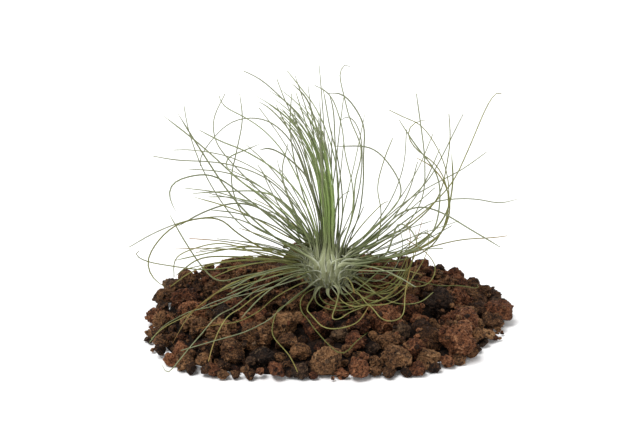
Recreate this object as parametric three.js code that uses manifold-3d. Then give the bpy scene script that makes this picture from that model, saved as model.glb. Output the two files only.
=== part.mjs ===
// An air plant with thin arching leaves, standing on a bed of lava gravel.
// Millimetres, +Z up. The origin is on the surface under the gravel, below the middle of the bulb.
// The front, which the hanging leaves face, is -Y.
import * as THREE from "three";
import { mergeVertices } from "three/addons/utils/BufferGeometryUtils.js";
import Module from "manifold-3d";

const wasm = await Module();
wasm.setup();
const { Manifold, Mesh } = wasm;

// ---------------------------------------------------------------- driving dimensions

// The bed's outline is |x|^power + |y|^power = 1 in shares of its half sizes: an ellipse on the
// right, squarer on the left. Its heap dips under the bulb.
const OUTLINE_POWER = { right: 2, left: 3 };
const BED = { halfWidth: 95, halfDepth: 80, coreShare: 0.94, coreTop: 8.8, coreRim: 0.8 };
const DIMPLE = { radius: 24, depth: 4 };
const BULB = { height: 27, radius: 12, above: 13, below: 10.5 };
const SHEATHS = { around: 9, rows: 4, relief: 0.09 };
// A leaf's section is a triangle. Its corner radius swells at the base, where the leaf clasps the bulb.
const LEAF = { midRadius: 0.62, tipRadius: 0.42, baseSwell: 1.1, swellLength: 13, sunk: 2.5 };
const GAP = 0.4; // between one piece and the next
const LEAF_CLEARANCE = 0.8; // between a leaf and the gravel under it
const FLOOR_CLEARANCE = 1.8; // the lowest that a leaf's middle line goes
const STEPS_PER_SPAN = 5; // points worked out on the curve from one given point to the next
const CHORD_ERROR = 0.6; // how far a leaf's straight stretches may stray from its curve
const BRIDGE_SLOPE = 0.35; // how steeply a leaf climbs over a stone

const COLOUR = { leaf: 0x7d8d62, gravel: 0x5b3a2b, redStone: 0x7a4630, tanStone: 0x84684a };

// ---------------------------------------------------------------- random draws

// Park and Miller's generator: the same numbers every time.
class Draws {
  constructor(seed) {
    this.state = seed;
  }
  share() {
    this.state = (this.state * 16807) % 2147483647;
    return this.state / 2147483647;
  }
  between([low, high]) {
    return low + (high - low) * this.share();
  }
}

const STONE_SEED = 20261;
const LEAF_SEED = 4711;

// ---------------------------------------------------------------- lava stones

// A stone's surface is a sphere with three soft waves on it, cut by flat chips.
const WAVES = { count: 3, height: 0.06, pitch: 2.6 };
const CHIPS = { count: 5, depth: [0.7, 0.94] };
const STONE_FLATNESS = 0.86;
const STONE_REACH = 1.18; // the furthest that the waves lift the surface, times the radius

// The large stones that read one by one: where the middle is, and the radius.
const LARGE_STONES = [
  { name: "lava_stone_red_front_right", at: [61, -50, 9], radius: 10.5, colour: "redStone" },
  { name: "lava_stone_tan_front", at: [31, -66, 6.8], radius: 7.6, colour: "tanStone" },
  { name: "lava_stone_tan_small", at: [46, -63, 5.4], radius: 5.6, colour: "tanStone" },
  { name: "lava_stone_red_block", at: [12, -72, 5], radius: 5.4, colour: "redStone" },
  { name: "lava_stone_porous_front", at: [-2, -69, 6.6], radius: 7.4, colour: "tanStone" },
  { name: "lava_stone_red_front_left", at: [-24, -73, 4.4], radius: 4.8, colour: "redStone" },
  { name: "lava_stone_ochre_left", at: [-50, -43, 10.4], radius: 8.4, colour: "tanStone" },
  { name: "lava_stone_red_left", at: [-37, -34, 12], radius: 7.6, colour: "redStone" },
  { name: "lava_stone_red_right_tip", at: [86, -8, 6.8], radius: 7.2, colour: "redStone" },
  { name: "lava_stone_dark_right", at: [55, -9, 12], radius: 8.2, colour: "gravel" },
  { name: "lava_stone_back", at: [-17, 57, 13], radius: 9.5, colour: "redStone" },
];

// Stones of the gravel that show one by one from the front: [across, back, radius].
const SEEN_STONES = [
  [-68, -61, 4.4],
  [-79, -50, 4.8],
  [-58, -64, 4.9],
  [-56, -70.5, 4.4],
  [-48, -69, 4.5],
  [-38, -72, 3.6],
  [-31, -73, 3.4],
  [-13, -74, 4.4],
  [-31, -62, 5.8],
  [-14, -59, 5.6],
  [8, -57, 4.6],
  [21, -55, 4.2],
  [21, -66, 3.6],
  [35, -38, 5.4],
  [44, -23, 4.4],
  [52, -31, 3.8],
  [-2, -27, 4.4],
  [77, -31, 4.4],
  [-16, -27, 5.6],
  [5, -42, 5.2],
  [-82, -31, 4.8],
  [-77, 11, 5],
  [-5, -53, 3.6],
  [73, -22, 3.8],
  [-64, 43, 5.8],
  [55, 48, 5.6],
];

// The gravel between them: the rim first, then the largest, so that small stones find the spaces
// left. Inside is the share of the bed's reach that stays free of that kind.
const SIEVE = [
  { tries: 1500, radius: [5.2, 6.6], inside: 0.86 },
  { tries: 120, radius: [8.2, 9.6], inside: 0 },
  { tries: 700, radius: [7.2, 8.2], inside: 0 },
  { tries: 1500, radius: [5.6, 7], inside: 0 },
  { tries: 110, radius: [4.8, 5.6], inside: 0 },
];
const PACKING = 0.77; // how near two stones' middles come, times the sum of their radii
const RIM_INSET = 1.02; // how far inside the edge a stone's middle stays, times its radius
const STONE_RISE = 0.45; // how far a stone's middle lies above the heap, times its radius
const REST_HEIGHT = 0.6; // the least height of a stone's middle, times its radius

// A unit vector, from a point drawn in a cube.
function drawDirection(draws) {
  const v = new THREE.Vector3(draws.share() - 0.5, draws.share() - 0.5, draws.share() - 0.5);
  return v.normalize();
}

// The waves and chips of one stone.
function drawShape(draws) {
  const waves = [];
  for (let i = 0; i < WAVES.count; i++)
    waves.push({ along: drawDirection(draws), phase: draws.between([0, 2 * Math.PI]) });
  const chips = [];
  for (let i = 0; i < CHIPS.count; i++)
    chips.push({ facing: drawDirection(draws), depth: draws.between(CHIPS.depth) });
  return { waves, chips };
}

// How far a stone of radius 1 reaches in a direction.
function stoneReach(shape, direction) {
  let reach = 1;
  for (const wave of shape.waves)
    reach += WAVES.height * Math.cos(WAVES.pitch * direction.dot(wave.along) + wave.phase);
  for (const chip of shape.chips) {
    const facing = direction.dot(chip.facing);
    if (facing > 0) reach = Math.min(reach, chip.depth / facing);
  }
  return reach;
}

// The share of the way from the middle of the bed to its edge that a point lies at.
function edgeShare(x, y) {
  const power = x > 0 ? OUTLINE_POWER.right : OUTLINE_POWER.left;
  const across = Math.abs(x / BED.halfWidth) ** power;
  const back = Math.abs(y / BED.halfDepth) ** power;
  return (across + back) ** (1 / power);
}

// The height of the heap under the stones, with a dimple where the bulb sits.
function coreHeight(x, y) {
  const dome = BED.coreRim + (BED.coreTop - BED.coreRim) * (1 - edgeShare(x, y) ** 2);
  const nearness = 1 - (x * x + y * y) / DIMPLE.radius ** 2;
  return dome - DIMPLE.depth * Math.max(0, nearness);
}

// A stone of the gravel, which lies on the heap.
function laidStone(x, y, radius, draws) {
  const z = Math.max(radius * REST_HEIGHT, coreHeight(x, y) + STONE_RISE * radius);
  return { at: [x, y, z], radius, shape: drawShape(draws) };
}

// Throws stones at the bed and keeps those that land clear of the ones before them.
function scatterStones(draws) {
  const kept = LARGE_STONES.map((stone) => ({ ...stone, shape: drawShape(draws) }));
  for (const [x, y, radius] of SEEN_STONES) kept.push(laidStone(x, y, radius, draws));
  for (const { tries, radius, inside } of SIEVE)
    for (let i = 0; i < tries; i++) {
      const r = draws.between(radius);
      const x = draws.between([-BED.halfWidth, BED.halfWidth]);
      const y = draws.between([-BED.halfDepth, BED.halfDepth]);
      const share = edgeShare(x, y);
      if (share < inside || share > 1 - (r * RIM_INSET) / BED.halfDepth) continue;
      const clear = kept.every((other) => {
        const [dx, dy] = [x - other.at[0], y - other.at[1]];
        const near = PACKING * (r + other.radius);
        return dx * dx + dy * dy > near * near;
      });
      if (clear) kept.push(laidStone(x, y, r, draws));
    }
  return kept;
}

const stones = scatterStones(new Draws(STONE_SEED));

// The height that a leaf has to clear at a point: the tallest stone there, or the floor.
function groundHeight(x, y) {
  let top = 0;
  for (const stone of stones) {
    const reach = stone.radius * STONE_REACH;
    const [dx, dy] = [x - stone.at[0], y - stone.at[1]];
    const left = reach * reach - dx * dx - dy * dy;
    if (left > 0) top = Math.max(top, stone.at[2] + STONE_FLATNESS * Math.sqrt(left));
  }
  return top;
}

// ---------------------------------------------------------------- leaves

// The leaves' points are given as they line up, seen from EYE, with a board that stands across the
// middle of the plant: [across, height]. How far in front of or behind the board a point lies
// comes from its leaf.
const EYE = new THREE.Vector3(-4, -566, 227);

// Leaves that stand clear of the gravel. Each row is how far the tip lies behind the board, and
// the points. The depth grows evenly from point to point.
const ARCHED = [
  // the upright tuft, from the right over to the left
  [4, [12, 55], [13, 72], [16, 88], [10, 104], [7, 116], [5, 126], [7, 130], [10, 129]],
  [-10, [15, 55], [17, 71], [17, 86], [17, 100], [12, 110], [6, 116], [-1, 116]],
  [12, [13, 59], [16, 76], [15, 97], [10, 105], [6, 103]],
  [-16, [11, 52], [12, 68], [8, 86], [6, 101], [0, 116], [-7, 120]],
  [20, [7, 57], [4, 86], [1, 97], [-2, 114], [-3, 119]],
  [-6, [5, 55], [4, 76], [3, 93], [2, 109], [0, 116]],
  [-4, [0, 57], [3, 78], [5, 97], [7, 114]],
  [28, [5, 57], [4, 78], [-1, 97], [-7, 110], [-13, 118], [-20, 127]],
  [-24, [-3, 62], [-4, 88], [-7, 103], [-11, 114], [-18, 121]],
  [6, [-3, 57], [-7, 81], [-14, 98], [-21, 112], [-25, 123]],
  [-12, [-4, 57], [-6, 74], [-13, 95], [-23, 109]],
  [-14, [2, 57], [-4, 82], [-13, 103], [-24, 115], [-33, 123], [-41, 127]],
  [14, [-4, 52], [-9, 70], [-14, 88], [-20, 99], [-29, 109], [-34, 112]],
  [-28, [-5, 57], [-10, 73], [-20, 84], [-29, 89], [-34, 88]],
  [30, [-11, 59], [-17, 83], [-19, 100], [-18, 116]],
  [40, [-16, 55], [-23, 76], [-20, 91]],
  // the fan to the left
  [44, [-22, 41], [-40, 51], [-48, 71], [-45, 88], [-42, 103], [-43, 116]],
  [36, [-5, 53], [-10, 71], [-19, 93], [-31, 103], [-47, 102], [-62, 86], [-63, 80]],
  [-10, [-7, 52], [-15, 73], [-23, 88], [-33, 99], [-42, 105], [-51, 110], [-53, 115]],
  [16, [-10, 41], [-20, 53], [-36, 69], [-48, 82], [-55, 92], [-56, 103], [-50, 116]],
  [38, [-20, 37], [-43, 49], [-59, 72], [-68, 97], [-70, 110]],
  [-22, [-28, 44], [-46, 62], [-62, 87], [-73, 106]],
  [30, [-18, 48], [-33, 64], [-43, 72], [-62, 90], [-80, 105]],
  [-8, [-7, 47], [-12, 61], [-24, 76], [-42, 88], [-52, 92], [-63, 98]],
  [24, [-8, 47], [-20, 65], [-28, 73], [-47, 84], [-67, 88], [-76, 88]],
  [-18, [-10, 49], [-23, 67], [-33, 75], [-46, 80], [-57, 82], [-75, 83], [-86, 85]],
  [10, [-12, 46], [-32, 64], [-48, 76], [-51, 81], [-50, 84], [-41, 88], [-34, 91]],
  [-30, [-18, 44], [-40, 63], [-57, 75], [-67, 75], [-77, 71], [-79, 65], [-76, 57]],
  [42, [-13, 51], [-26, 64], [-36, 67], [-48, 67], [-67, 66]],
  [-20, [-12, 36], [-28, 44], [-43, 52], [-53, 54], [-70, 52], [-86, 46], [-100, 38]],
  [8, [-12, 42], [-28, 55], [-38, 60], [-48, 61], [-63, 56], [-75, 49]],
  // low on the left
  [-34, [-12, 32], [-28, 35], [-45, 45], [-55, 53], [-73, 51], [-83, 44], [-91, 31], [-89, 22],
    [-83, 17]],
  [20, [-16, 27], [-41, 23], [-56, 20], [-64, 28], [-73, 43], [-79, 55]],
  [-8, [-13, 31], [-33, 30], [-61, 26], [-79, 28], [-93, 31], [-97, 34], [-95, 36]],
  [14, [-12, 30], [-30, 33], [-53, 40], [-68, 37], [-77, 32], [-78, 22]],
  [28, [-14, 33], [-36, 38], [-50, 37], [-64, 34], [-77, 31]],
  [-2, [-16, 30], [-46, 33], [-65, 32], [-77, 23]],
  [8, [-14, 29], [-24, 31], [-53, 30], [-69, 25], [-80, 17]],
  // the fan to the right, which turns upwards
  [22, [18, 35], [37, 48], [51, 60], [61, 72], [68, 88], [76, 109], [80, 116], [83, 116]],
  [-10, [15, 40], [28, 53], [41, 64], [56, 73], [65, 78], [77, 87]],
  [34, [16, 39], [34, 57], [49, 73], [55, 84], [60, 95], [65, 106]],
  [-26, [20, 34], [43, 51], [54, 64], [58, 82], [59, 95], [58, 106]],
  [8, [18, 29], [40, 32], [52, 39], [58, 51], [59, 71], [54, 87], [44, 101], [37, 104], [29, 108]],
  [-18, [18, 31], [40, 35], [52, 46], [55, 65], [53, 76], [42, 91], [34, 103]],
  [24, [18, 31], [38, 34], [56, 45], [59, 65], [53, 80], [42, 89], [38, 97], [42, 102], [48, 103]],
  [-36, [16, 36], [37, 48], [46, 63], [47, 82], [44, 104], [42, 116]],
  [14, [18, 30], [42, 36], [57, 47], [60, 60], [57, 71], [50, 80], [43, 84]],
  [-12, [18, 30], [40, 36], [57, 53], [61, 70], [60, 86]],
  [30, [15, 35], [27, 43], [41, 54], [51, 61], [61, 63], [73, 63], [85, 61], [93, 63]],
  [-16, [15, 37], [27, 48], [36, 56], [46, 59], [56, 56], [71, 47], [86, 38]],
  [10, [19, 29], [42, 35], [54, 39], [67, 42], [82, 43], [89, 44]],
  [-30, [23, 39], [26, 56], [24, 69], [27, 83], [31, 94]],
  [18, [13, 39], [25, 51], [34, 61], [36, 68], [31, 79], [21, 89], [3, 90]],
  [-22, [16, 29], [28, 33], [32, 43], [35, 51], [42, 46], [45, 36]],
  [12, [16, 28], [28, 32], [40, 39], [47, 46], [54, 42]],
];

// Leaves that hang over the gravel and lie on it: [across, height, true height above the floor].
// The true height says how far in front of the board the point lies.
const DRAPED = [
  // to the left and over the edge
  [[-11, 29, 30], [-26, 27, 28], [-41, 16, 23], [-57, 7, 18], [-74, 2, 13], [-92, -17, 3]],
  [[-10, 26, 28], [-29, 24, 26], [-49, 19, 22], [-61, 10, 17], [-75, -1, 12], [-91, -16, 3]],
  [[-11, 25, 28], [-33, 17, 22], [-49, 5, 18], [-66, -10, 13], [-79, -26, 5], [-83, -31, 3],
    [-86, -26, 3]],
  [[-7, 19, 23], [-19, 10, 20], [-29, 0, 18], [-41, -7, 16], [-60, -13, 13], [-76, -18, 9]],
  [[-11, 23, 26], [-34, 15, 21], [-54, 10, 18]],
  [[-11, 24, 27], [-29, 19, 23], [-47, 13, 20], [-65, 5, 15]],
  [[-6, 21, 24], [-12, 15, 21], [-24, 4, 17], [-29, -6, 16], [-28, -11, 15], [-20, -21, 11],
    [-16, -30, 6]],
  // in front of the bulb, with the bends and hooks of old leaves
  [[-7, 16, 19], [-14, 9, 17], [-14, 4, 16], [-4, -10, 14], [5, -20, 12], [8, -20, 12],
    [14, -13, 14], [20, -8, 14]],
  [[-7, 14, 19], [-6, 8, 16], [5, 4, 16], [18, 7, 17], [30, 12, 20], [37, 22, 27], [40, 34, 36]],
  [[4, 17, 21], [7, 12, 18], [14, 15, 20], [26, 26, 28], [35, 36, 38]],
  [[5, 16, 21], [4, 8, 18], [2, -2, 15], [14, 4, 16], [25, 10, 18]],
  [[11, 22, 23], [15, 21, 23], [18, 22, 25], [16, 26, 27]],
  [[9, 18, 20], [17, 12, 18], [28, 11, 18], [37, 19, 24], [40, 32, 34]],
  [[-7, 13, 18], [-11, 4, 16], [0, -6, 15], [14, -3, 15], [21, 6, 17]],
  // to the right, over the stones
  [[10, 18, 20], [17, 9, 17], [29, -2, 16], [37, 0, 16], [39, 15, 22], [42, 32, 34]],
  [[15, 18, 20], [28, 9, 17], [45, 8, 17], [53, 14, 19]],
  [[16, 22, 22], [36, 18, 19], [50, 18, 20], [54, 27, 28], [49, 35, 36], [39, 42, 44]],
  [[16, 24, 25], [32, 23, 22], [53, 18, 18], [67, 16, 15], [76, 16, 15], [75, 18, 16]],
];
const ROOT_DEPTH = [-9, 8]; // how far in front of or behind the board an arched leaf leaves the bulb

// The leaves between them, drawn within limits. The bearing is turned from +X to +Y, and the rise is
// above level. Bow and sweep are how far the rise and the bearing have turned at the tip.
const TUFTS = [
  { count: 12, bearing: [110, 250], rise: [76, 87], length: [58, 92], bow: [-22, 2], sweep: [-8, 8] },
  { count: 6, bearing: [-60, 80], rise: [80, 88], length: [52, 84], bow: [-4, 22], sweep: [-9, 9] },
  { count: 7, bearing: [155, 208], rise: [38, 60], length: [60, 88], bow: [-52, -12], sweep: [-16, 16] },
  { count: 4, bearing: [-14, 24], rise: [26, 44], length: [50, 76], bow: [20, 56], sweep: [-12, 20] },
  { count: 14, bearing: [48, 138], rise: [14, 62], length: [56, 86], bow: [-46, 18], sweep: [-26, 26] },
  { count: 5, bearing: [196, 244], rise: [4, 18], length: [42, 66], bow: [-30, -12], sweep: [-24, 10] },
  { count: 5, bearing: [-72, -18], rise: [6, 26], length: [36, 56], bow: [-34, 4], sweep: [6, 46] },
];
const TUFT_SPANS = 4;

// A leaf's point: where the line of sight past a point of the board reaches a depth behind it.
function behindBoard(across, height, depth) {
  const onBoard = new THREE.Vector3(across, 0, height);
  return onBoard.addScaledVector(onBoard.clone().sub(EYE), depth / -EYE.y);
}

function archedLeaf([tipDepth, ...passed], draws) {
  const rootDepth = draws.between(ROOT_DEPTH);
  return passed.map(([across, height], i) => {
    const share = (i + 1) / passed.length;
    return behindBoard(across, height, rootDepth + (tipDepth - rootDepth) * share);
  });
}

function drapedLeaf(passed) {
  return passed.map(([across, seen, height]) =>
    behindBoard(across, seen, (EYE.y * (height - seen)) / (EYE.z - seen)),
  );
}

// The points that a drawn leaf passes, each one step on from the last as its rise and bearing turn.
function drawnLeaf(tuft, draws) {
  const [bearing, rise] = [draws.between(tuft.bearing), draws.between(tuft.rise)];
  const step = draws.between(tuft.length) / TUFT_SPANS;
  const [bow, sweep] = [draws.between(tuft.bow), draws.between(tuft.sweep)];
  const points = [];
  const at = new THREE.Vector3(0, 0, BULB.height);
  for (let i = 0; i < TUFT_SPANS; i++) {
    const turned = i / (TUFT_SPANS - 1);
    const up = THREE.MathUtils.degToRad(rise + bow * turned);
    const round = THREE.MathUtils.degToRad(bearing + sweep * turned);
    const level = new THREE.Vector3(Math.cos(round), Math.sin(round), 0);
    const start = i === 0 ? BULB.radius : 0;
    at.addScaledVector(level, (step + start) * Math.cos(up));
    at.z += (step + start) * Math.sin(up);
    points.push(at.clone());
  }
  return points;
}

// Where a leaf leaves the bulb, less a depth. Steep leaves leave well out from the middle.
const ROOT_SPREAD = 3.4;
function bulbPoint(towards, depth) {
  const d = towards.clone().sub(new THREE.Vector3(0, 0, BULB.height));
  d.x *= ROOT_SPREAD;
  d.y *= ROOT_SPREAD;
  d.normalize();
  const tall = d.z > 0 ? BULB.above : BULB.below;
  const stretch = Math.hypot(d.x / BULB.radius, d.y / BULB.radius, d.z / tall);
  return d.multiplyScalar(1 / stretch - depth).add(new THREE.Vector3(0, 0, BULB.height));
}

// How far along a line each of its points lies.
function distancesAlong(line) {
  const distances = [0];
  for (let i = 1; i < line.length; i++)
    distances.push(distances[i - 1] + line[i].distanceTo(line[i - 1]));
  return distances;
}

// The corner radius at a distance along a leaf.
function leafRadius(distance, length) {
  const taper = LEAF.midRadius + (LEAF.tipRadius - LEAF.midRadius) * (distance / length);
  return taper + LEAF.baseSwell * Math.exp(-distance / LEAF.swellLength);
}

// Raises a line over the stones, as much as it has to and in long easy slopes.
function liftOverStones(line) {
  const distances = distancesAlong(line);
  const length = distances.at(-1);
  const needed = line.map((point, i) => {
    if (distances[i] < 2 * LEAF.sunk) return 0;
    const ground = groundHeight(point.x, point.y);
    const least = ground + leafRadius(distances[i], length) + LEAF_CLEARANCE + CHORD_ERROR;
    return Math.max(FLOOR_CLEARANCE, least) - point.z;
  });
  return line.map((point, i) => {
    const lifts = needed.map((n, j) => n - BRIDGE_SLOPE * Math.abs(distances[i] - distances[j]));
    return new THREE.Vector3(point.x, point.y, point.z + Math.max(0, ...lifts));
  });
}

// Drops the points that a straight stretch passes closely enough.
function thinned(line) {
  const chord = new THREE.Line3(line[0], line.at(-1));
  const strays = line.map((p) =>
    p.distanceTo(chord.closestPointToPoint(p, true, new THREE.Vector3())),
  );
  const worst = strays.indexOf(Math.max(...strays));
  if (strays[worst] < CHORD_ERROR) return [line[0], line.at(-1)];
  return [...thinned(line.slice(0, worst + 1)), ...thinned(line.slice(worst)).slice(1)];
}

// A leaf's middle line, from inside the bulb to the tip.
function leafLine(passed) {
  const root = bulbPoint(passed[0], LEAF.sunk);
  const curve = new THREE.CatmullRomCurve3([root, ...passed], false, "centripetal");
  return thinned(liftOverStones(curve.getPoints(STEPS_PER_SPAN * passed.length)));
}

// A triangular section carried along the line, with flat ends. The section turns as little as it can.
function leafGeometry(line) {
  const corners = 3;
  const distances = distancesAlong(line);
  const positions = [];
  let side = new THREE.Vector3(0, 0, 1);
  line.forEach((point, i) => {
    const before = line[Math.max(i - 1, 0)];
    const after = line[Math.min(i + 1, line.length - 1)];
    const along = after.clone().sub(before).normalize();
    side = side.clone().addScaledVector(along, -side.dot(along));
    if (side.lengthSq() < 1e-3) side = new THREE.Vector3(1, 0, 0).cross(along);
    side.normalize();
    const across = along.clone().cross(side);
    const radius = leafRadius(distances[i], distances.at(-1));
    for (let k = 0; k < corners; k++) {
      const angle = (2 * Math.PI * k) / corners;
      const corner = point
        .clone()
        .addScaledVector(side, radius * Math.cos(angle))
        .addScaledVector(across, radius * Math.sin(angle));
      positions.push(corner.x, corner.y, corner.z);
    }
  });
  return indexedGeometry(positions, tubeFaces(line.length, corners));
}

// The triangles of a tube of rings of corners, with its two ends closed.
function tubeFaces(rings, corners) {
  const faces = [0, 2, 1];
  for (let i = 0; i + 1 < rings; i++)
    for (let k = 0; k < corners; k++) {
      const [a, b] = [i * corners + k, i * corners + ((k + 1) % corners)];
      faces.push(a, b, b + corners, a, b + corners, a + corners);
    }
  const last = (rings - 1) * corners;
  return [...faces, last, last + 1, last + 2];
}

function indexedGeometry(positions, faces) {
  const geometry = new THREE.BufferGeometry();
  geometry.setAttribute("position", new THREE.Float32BufferAttribute(positions, 3));
  geometry.setIndex(faces);
  return geometry;
}

// ---------------------------------------------------------------- solids

// A closed geometry as a solid that can be joined and cut.
function solid(geometry) {
  const bare = geometry.clone();
  bare.deleteAttribute("normal");
  bare.deleteAttribute("uv");
  const merged = mergeVertices(bare, 1e-4);
  return new Manifold(
    new Mesh({
      numProp: 3,
      vertProperties: new Float32Array(merged.attributes.position.array),
      triVerts: new Uint32Array(merged.index.array),
    }),
  );
}

// A solid as a mesh with a name and a colour. Only its largest body stays.
function meshOf(name, shape, colour, roughness) {
  const bodies = shape.decompose().sort((a, b) => b.volume() - a.volume());
  const found = bodies[0].getMesh();
  const geometry = indexedGeometry(found.vertProperties, [...found.triVerts]);
  geometry.computeVertexNormals();
  const material = new THREE.MeshStandardMaterial({ color: colour, roughness, metalness: 0 });
  const mesh = new THREE.Mesh(geometry, material);
  mesh.name = name;
  return mesh;
}

// The bulb: a squat ball whose surface swells where each leaf base clasps it, row above row.
function bulbGeometry(grown = 0) {
  const geometry = new THREE.SphereGeometry(1, 2 * SHEATHS.around, 2 * SHEATHS.rows);
  geometry.rotateX(Math.PI / 2);
  const position = geometry.attributes.position;
  for (let i = 0; i < position.count; i++) {
    const p = new THREE.Vector3().fromBufferAttribute(position, i);
    const row = (Math.acos(p.z) / Math.PI) * 2 * SHEATHS.rows;
    const swell = Math.cos(SHEATHS.around * Math.atan2(p.y, p.x) + Math.PI * Math.round(row));
    const level = Math.hypot(p.x, p.y);
    p.multiplyScalar(1 + SHEATHS.relief * swell * level);
    const wide = BULB.radius + grown;
    const tall = (p.z > 0 ? BULB.above : BULB.below) + grown;
    position.setXYZ(i, wide * p.x, wide * p.y, tall * p.z);
  }
  return geometry.translate(0, 0, BULB.height);
}

// A stone as a moulded icosahedron, at its place in the bed.
function stoneGeometry(stone, detail, grown = 0) {
  const geometry = new THREE.IcosahedronGeometry(1, detail);
  const position = geometry.attributes.position;
  for (let i = 0; i < position.count; i++) {
    const direction = new THREE.Vector3().fromBufferAttribute(position, i).normalize();
    const reach = stone.radius * stoneReach(stone.shape, direction) + grown;
    direction.multiplyScalar(reach);
    position.setXYZ(i, direction.x, direction.y, direction.z * STONE_FLATNESS);
  }
  return geometry.translate(...stone.at);
}

// The heap that the gravel is fused to: rings of points from the middle to the edge, flat underneath.
function coreGeometry() {
  const [sectors, rings] = [28, [0.25, 0.55, 0.98, 1]];
  const positions = [0, 0, coreHeight(0, 0)];
  for (const ring of rings)
    for (let i = 0; i < sectors; i++) {
      const angle = (2 * Math.PI * i) / sectors;
      const reach = (BED.coreShare * ring) / edgeShare(Math.cos(angle), Math.sin(angle));
      const [x, y] = [reach * Math.cos(angle), reach * Math.sin(angle)];
      positions.push(x, y, ring < 1 ? coreHeight(x, y) : 0);
    }
  const under = positions.length / 3;
  positions.push(0, 0, 0);
  const faces = [];
  for (let i = 0; i < sectors; i++) {
    const next = (i + 1) % sectors;
    faces.push(0, 1 + i, 1 + next);
    for (let ring = 0; ring + 1 < rings.length; ring++) {
      const [a, b] = [1 + ring * sectors + i, 1 + ring * sectors + next];
      faces.push(a, a + sectors, b + sectors, a, b + sectors, b);
    }
    const rim = 1 + (rings.length - 1) * sectors;
    faces.push(under, rim + next, rim + i);
  }
  return indexedGeometry(positions, faces);
}

// Everything below the surface that the bed lies on.
function belowFloor() {
  const size = 3 * BED.halfWidth;
  return solid(new THREE.BoxGeometry(size, size, size).translate(0, 0, -size / 2));
}

const floor = belowFloor();

function buildRosette() {
  const draws = new Draws(LEAF_SEED);
  const arched = ARCHED.map((row) => archedLeaf(row, draws));
  const drawn = TUFTS.flatMap((tuft) =>
    Array.from({ length: tuft.count }, () => drawnLeaf(tuft, draws)),
  );
  const lines = [...arched, ...DRAPED.map(drapedLeaf), ...drawn].map(leafLine);
  const leaves = lines.map((line) => solid(leafGeometry(line)));
  return Manifold.union([solid(bulbGeometry()), ...leaves]);
}

function buildLargeStones() {
  return stones.filter((stone) => stone.name).map((stone) => ({
    stone,
    shape: solid(stoneGeometry(stone, 1)).subtract(floor),
  }));
}

function buildBed() {
  const small = stones.filter((stone) => !stone.name);
  const heap = Manifold.union([
    solid(coreGeometry()),
    ...small.map((stone) => solid(stoneGeometry(stone, 0))),
  ]);
  const pockets = stones.filter((stone) => stone.name);
  return heap.subtract(
    Manifold.union([
      floor,
      solid(bulbGeometry(GAP)),
      ...pockets.map((stone) => solid(stoneGeometry(stone, 1, GAP))),
    ]),
  );
}

// ---------------------------------------------------------------- the air plant on its bed

const plantOnBed = new THREE.Group();
plantOnBed.name = "air_plant_on_lava_bed";
plantOnBed.add(meshOf("rosette", buildRosette(), COLOUR.leaf, 0.75));
plantOnBed.add(meshOf("lava_gravel_bed", buildBed(), COLOUR.gravel, 0.95));
for (const { stone, shape } of buildLargeStones())
  plantOnBed.add(meshOf(stone.name, shape, COLOUR[stone.colour], 0.95));

export default plantOnBed;
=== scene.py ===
"""An air plant on a bed of lava gravel: its looks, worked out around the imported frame.

Lengths are in millimetres and angles in degrees where they are named; lengths turn to metres as a
mesh is made. The origin is on the surface under the gravel, below the middle of the bulb, with +Z
up. The front, which the hanging leaves face, is -Y.
"""

import logging
import math
from dataclasses import dataclass, field
from enum import Enum
from typing import Sequence

import bmesh
import bpy
import numpy as np
from mathutils import Euler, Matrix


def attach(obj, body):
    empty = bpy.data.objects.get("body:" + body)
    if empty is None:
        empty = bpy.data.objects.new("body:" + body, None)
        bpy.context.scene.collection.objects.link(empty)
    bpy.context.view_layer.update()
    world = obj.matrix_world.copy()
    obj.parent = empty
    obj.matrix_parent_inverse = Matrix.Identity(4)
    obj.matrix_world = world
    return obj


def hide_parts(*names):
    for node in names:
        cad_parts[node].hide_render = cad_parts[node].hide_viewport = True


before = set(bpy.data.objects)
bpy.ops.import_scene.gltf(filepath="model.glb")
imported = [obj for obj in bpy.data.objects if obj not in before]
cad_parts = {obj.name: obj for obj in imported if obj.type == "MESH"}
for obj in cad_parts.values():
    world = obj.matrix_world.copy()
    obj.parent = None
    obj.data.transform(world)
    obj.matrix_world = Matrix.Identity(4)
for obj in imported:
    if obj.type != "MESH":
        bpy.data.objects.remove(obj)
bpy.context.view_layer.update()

log = logging.getLogger("air_plant")
MM = 0.001
BODY = "root"
GRAVEL_NODE = "lava_gravel_bed"
PLANT_NODE = "rosette"
NO_FLAT = 8.0  # how far a stone may reach where none of its flats faces, in shares of its radius


# ---------------------------------------------------------------- random draws


class Draws:
    """Park and Miller's generator, which gives the same numbers every time."""

    def __init__(self, seed: int) -> None:
        """Starts the row of numbers.

        Args:
            seed: where the row starts.
        """
        self.state = seed

    def share(self) -> float:
        """A number from 0 to 1."""
        self.state = self.state * 16807 % 2147483647
        return self.state / 2147483647

    def between(self, limits: Sequence[float]) -> float:
        """A number between two limits."""
        low, high = limits
        return low + (high - low) * self.share()

    def direction(self) -> np.ndarray:
        """A unit vector, from a point drawn in a cube."""
        drawn = np.array([self.share(), self.share(), self.share()]) - 0.5
        return drawn / np.linalg.norm(drawn)


# ---------------------------------------------------------------- meshes


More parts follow.
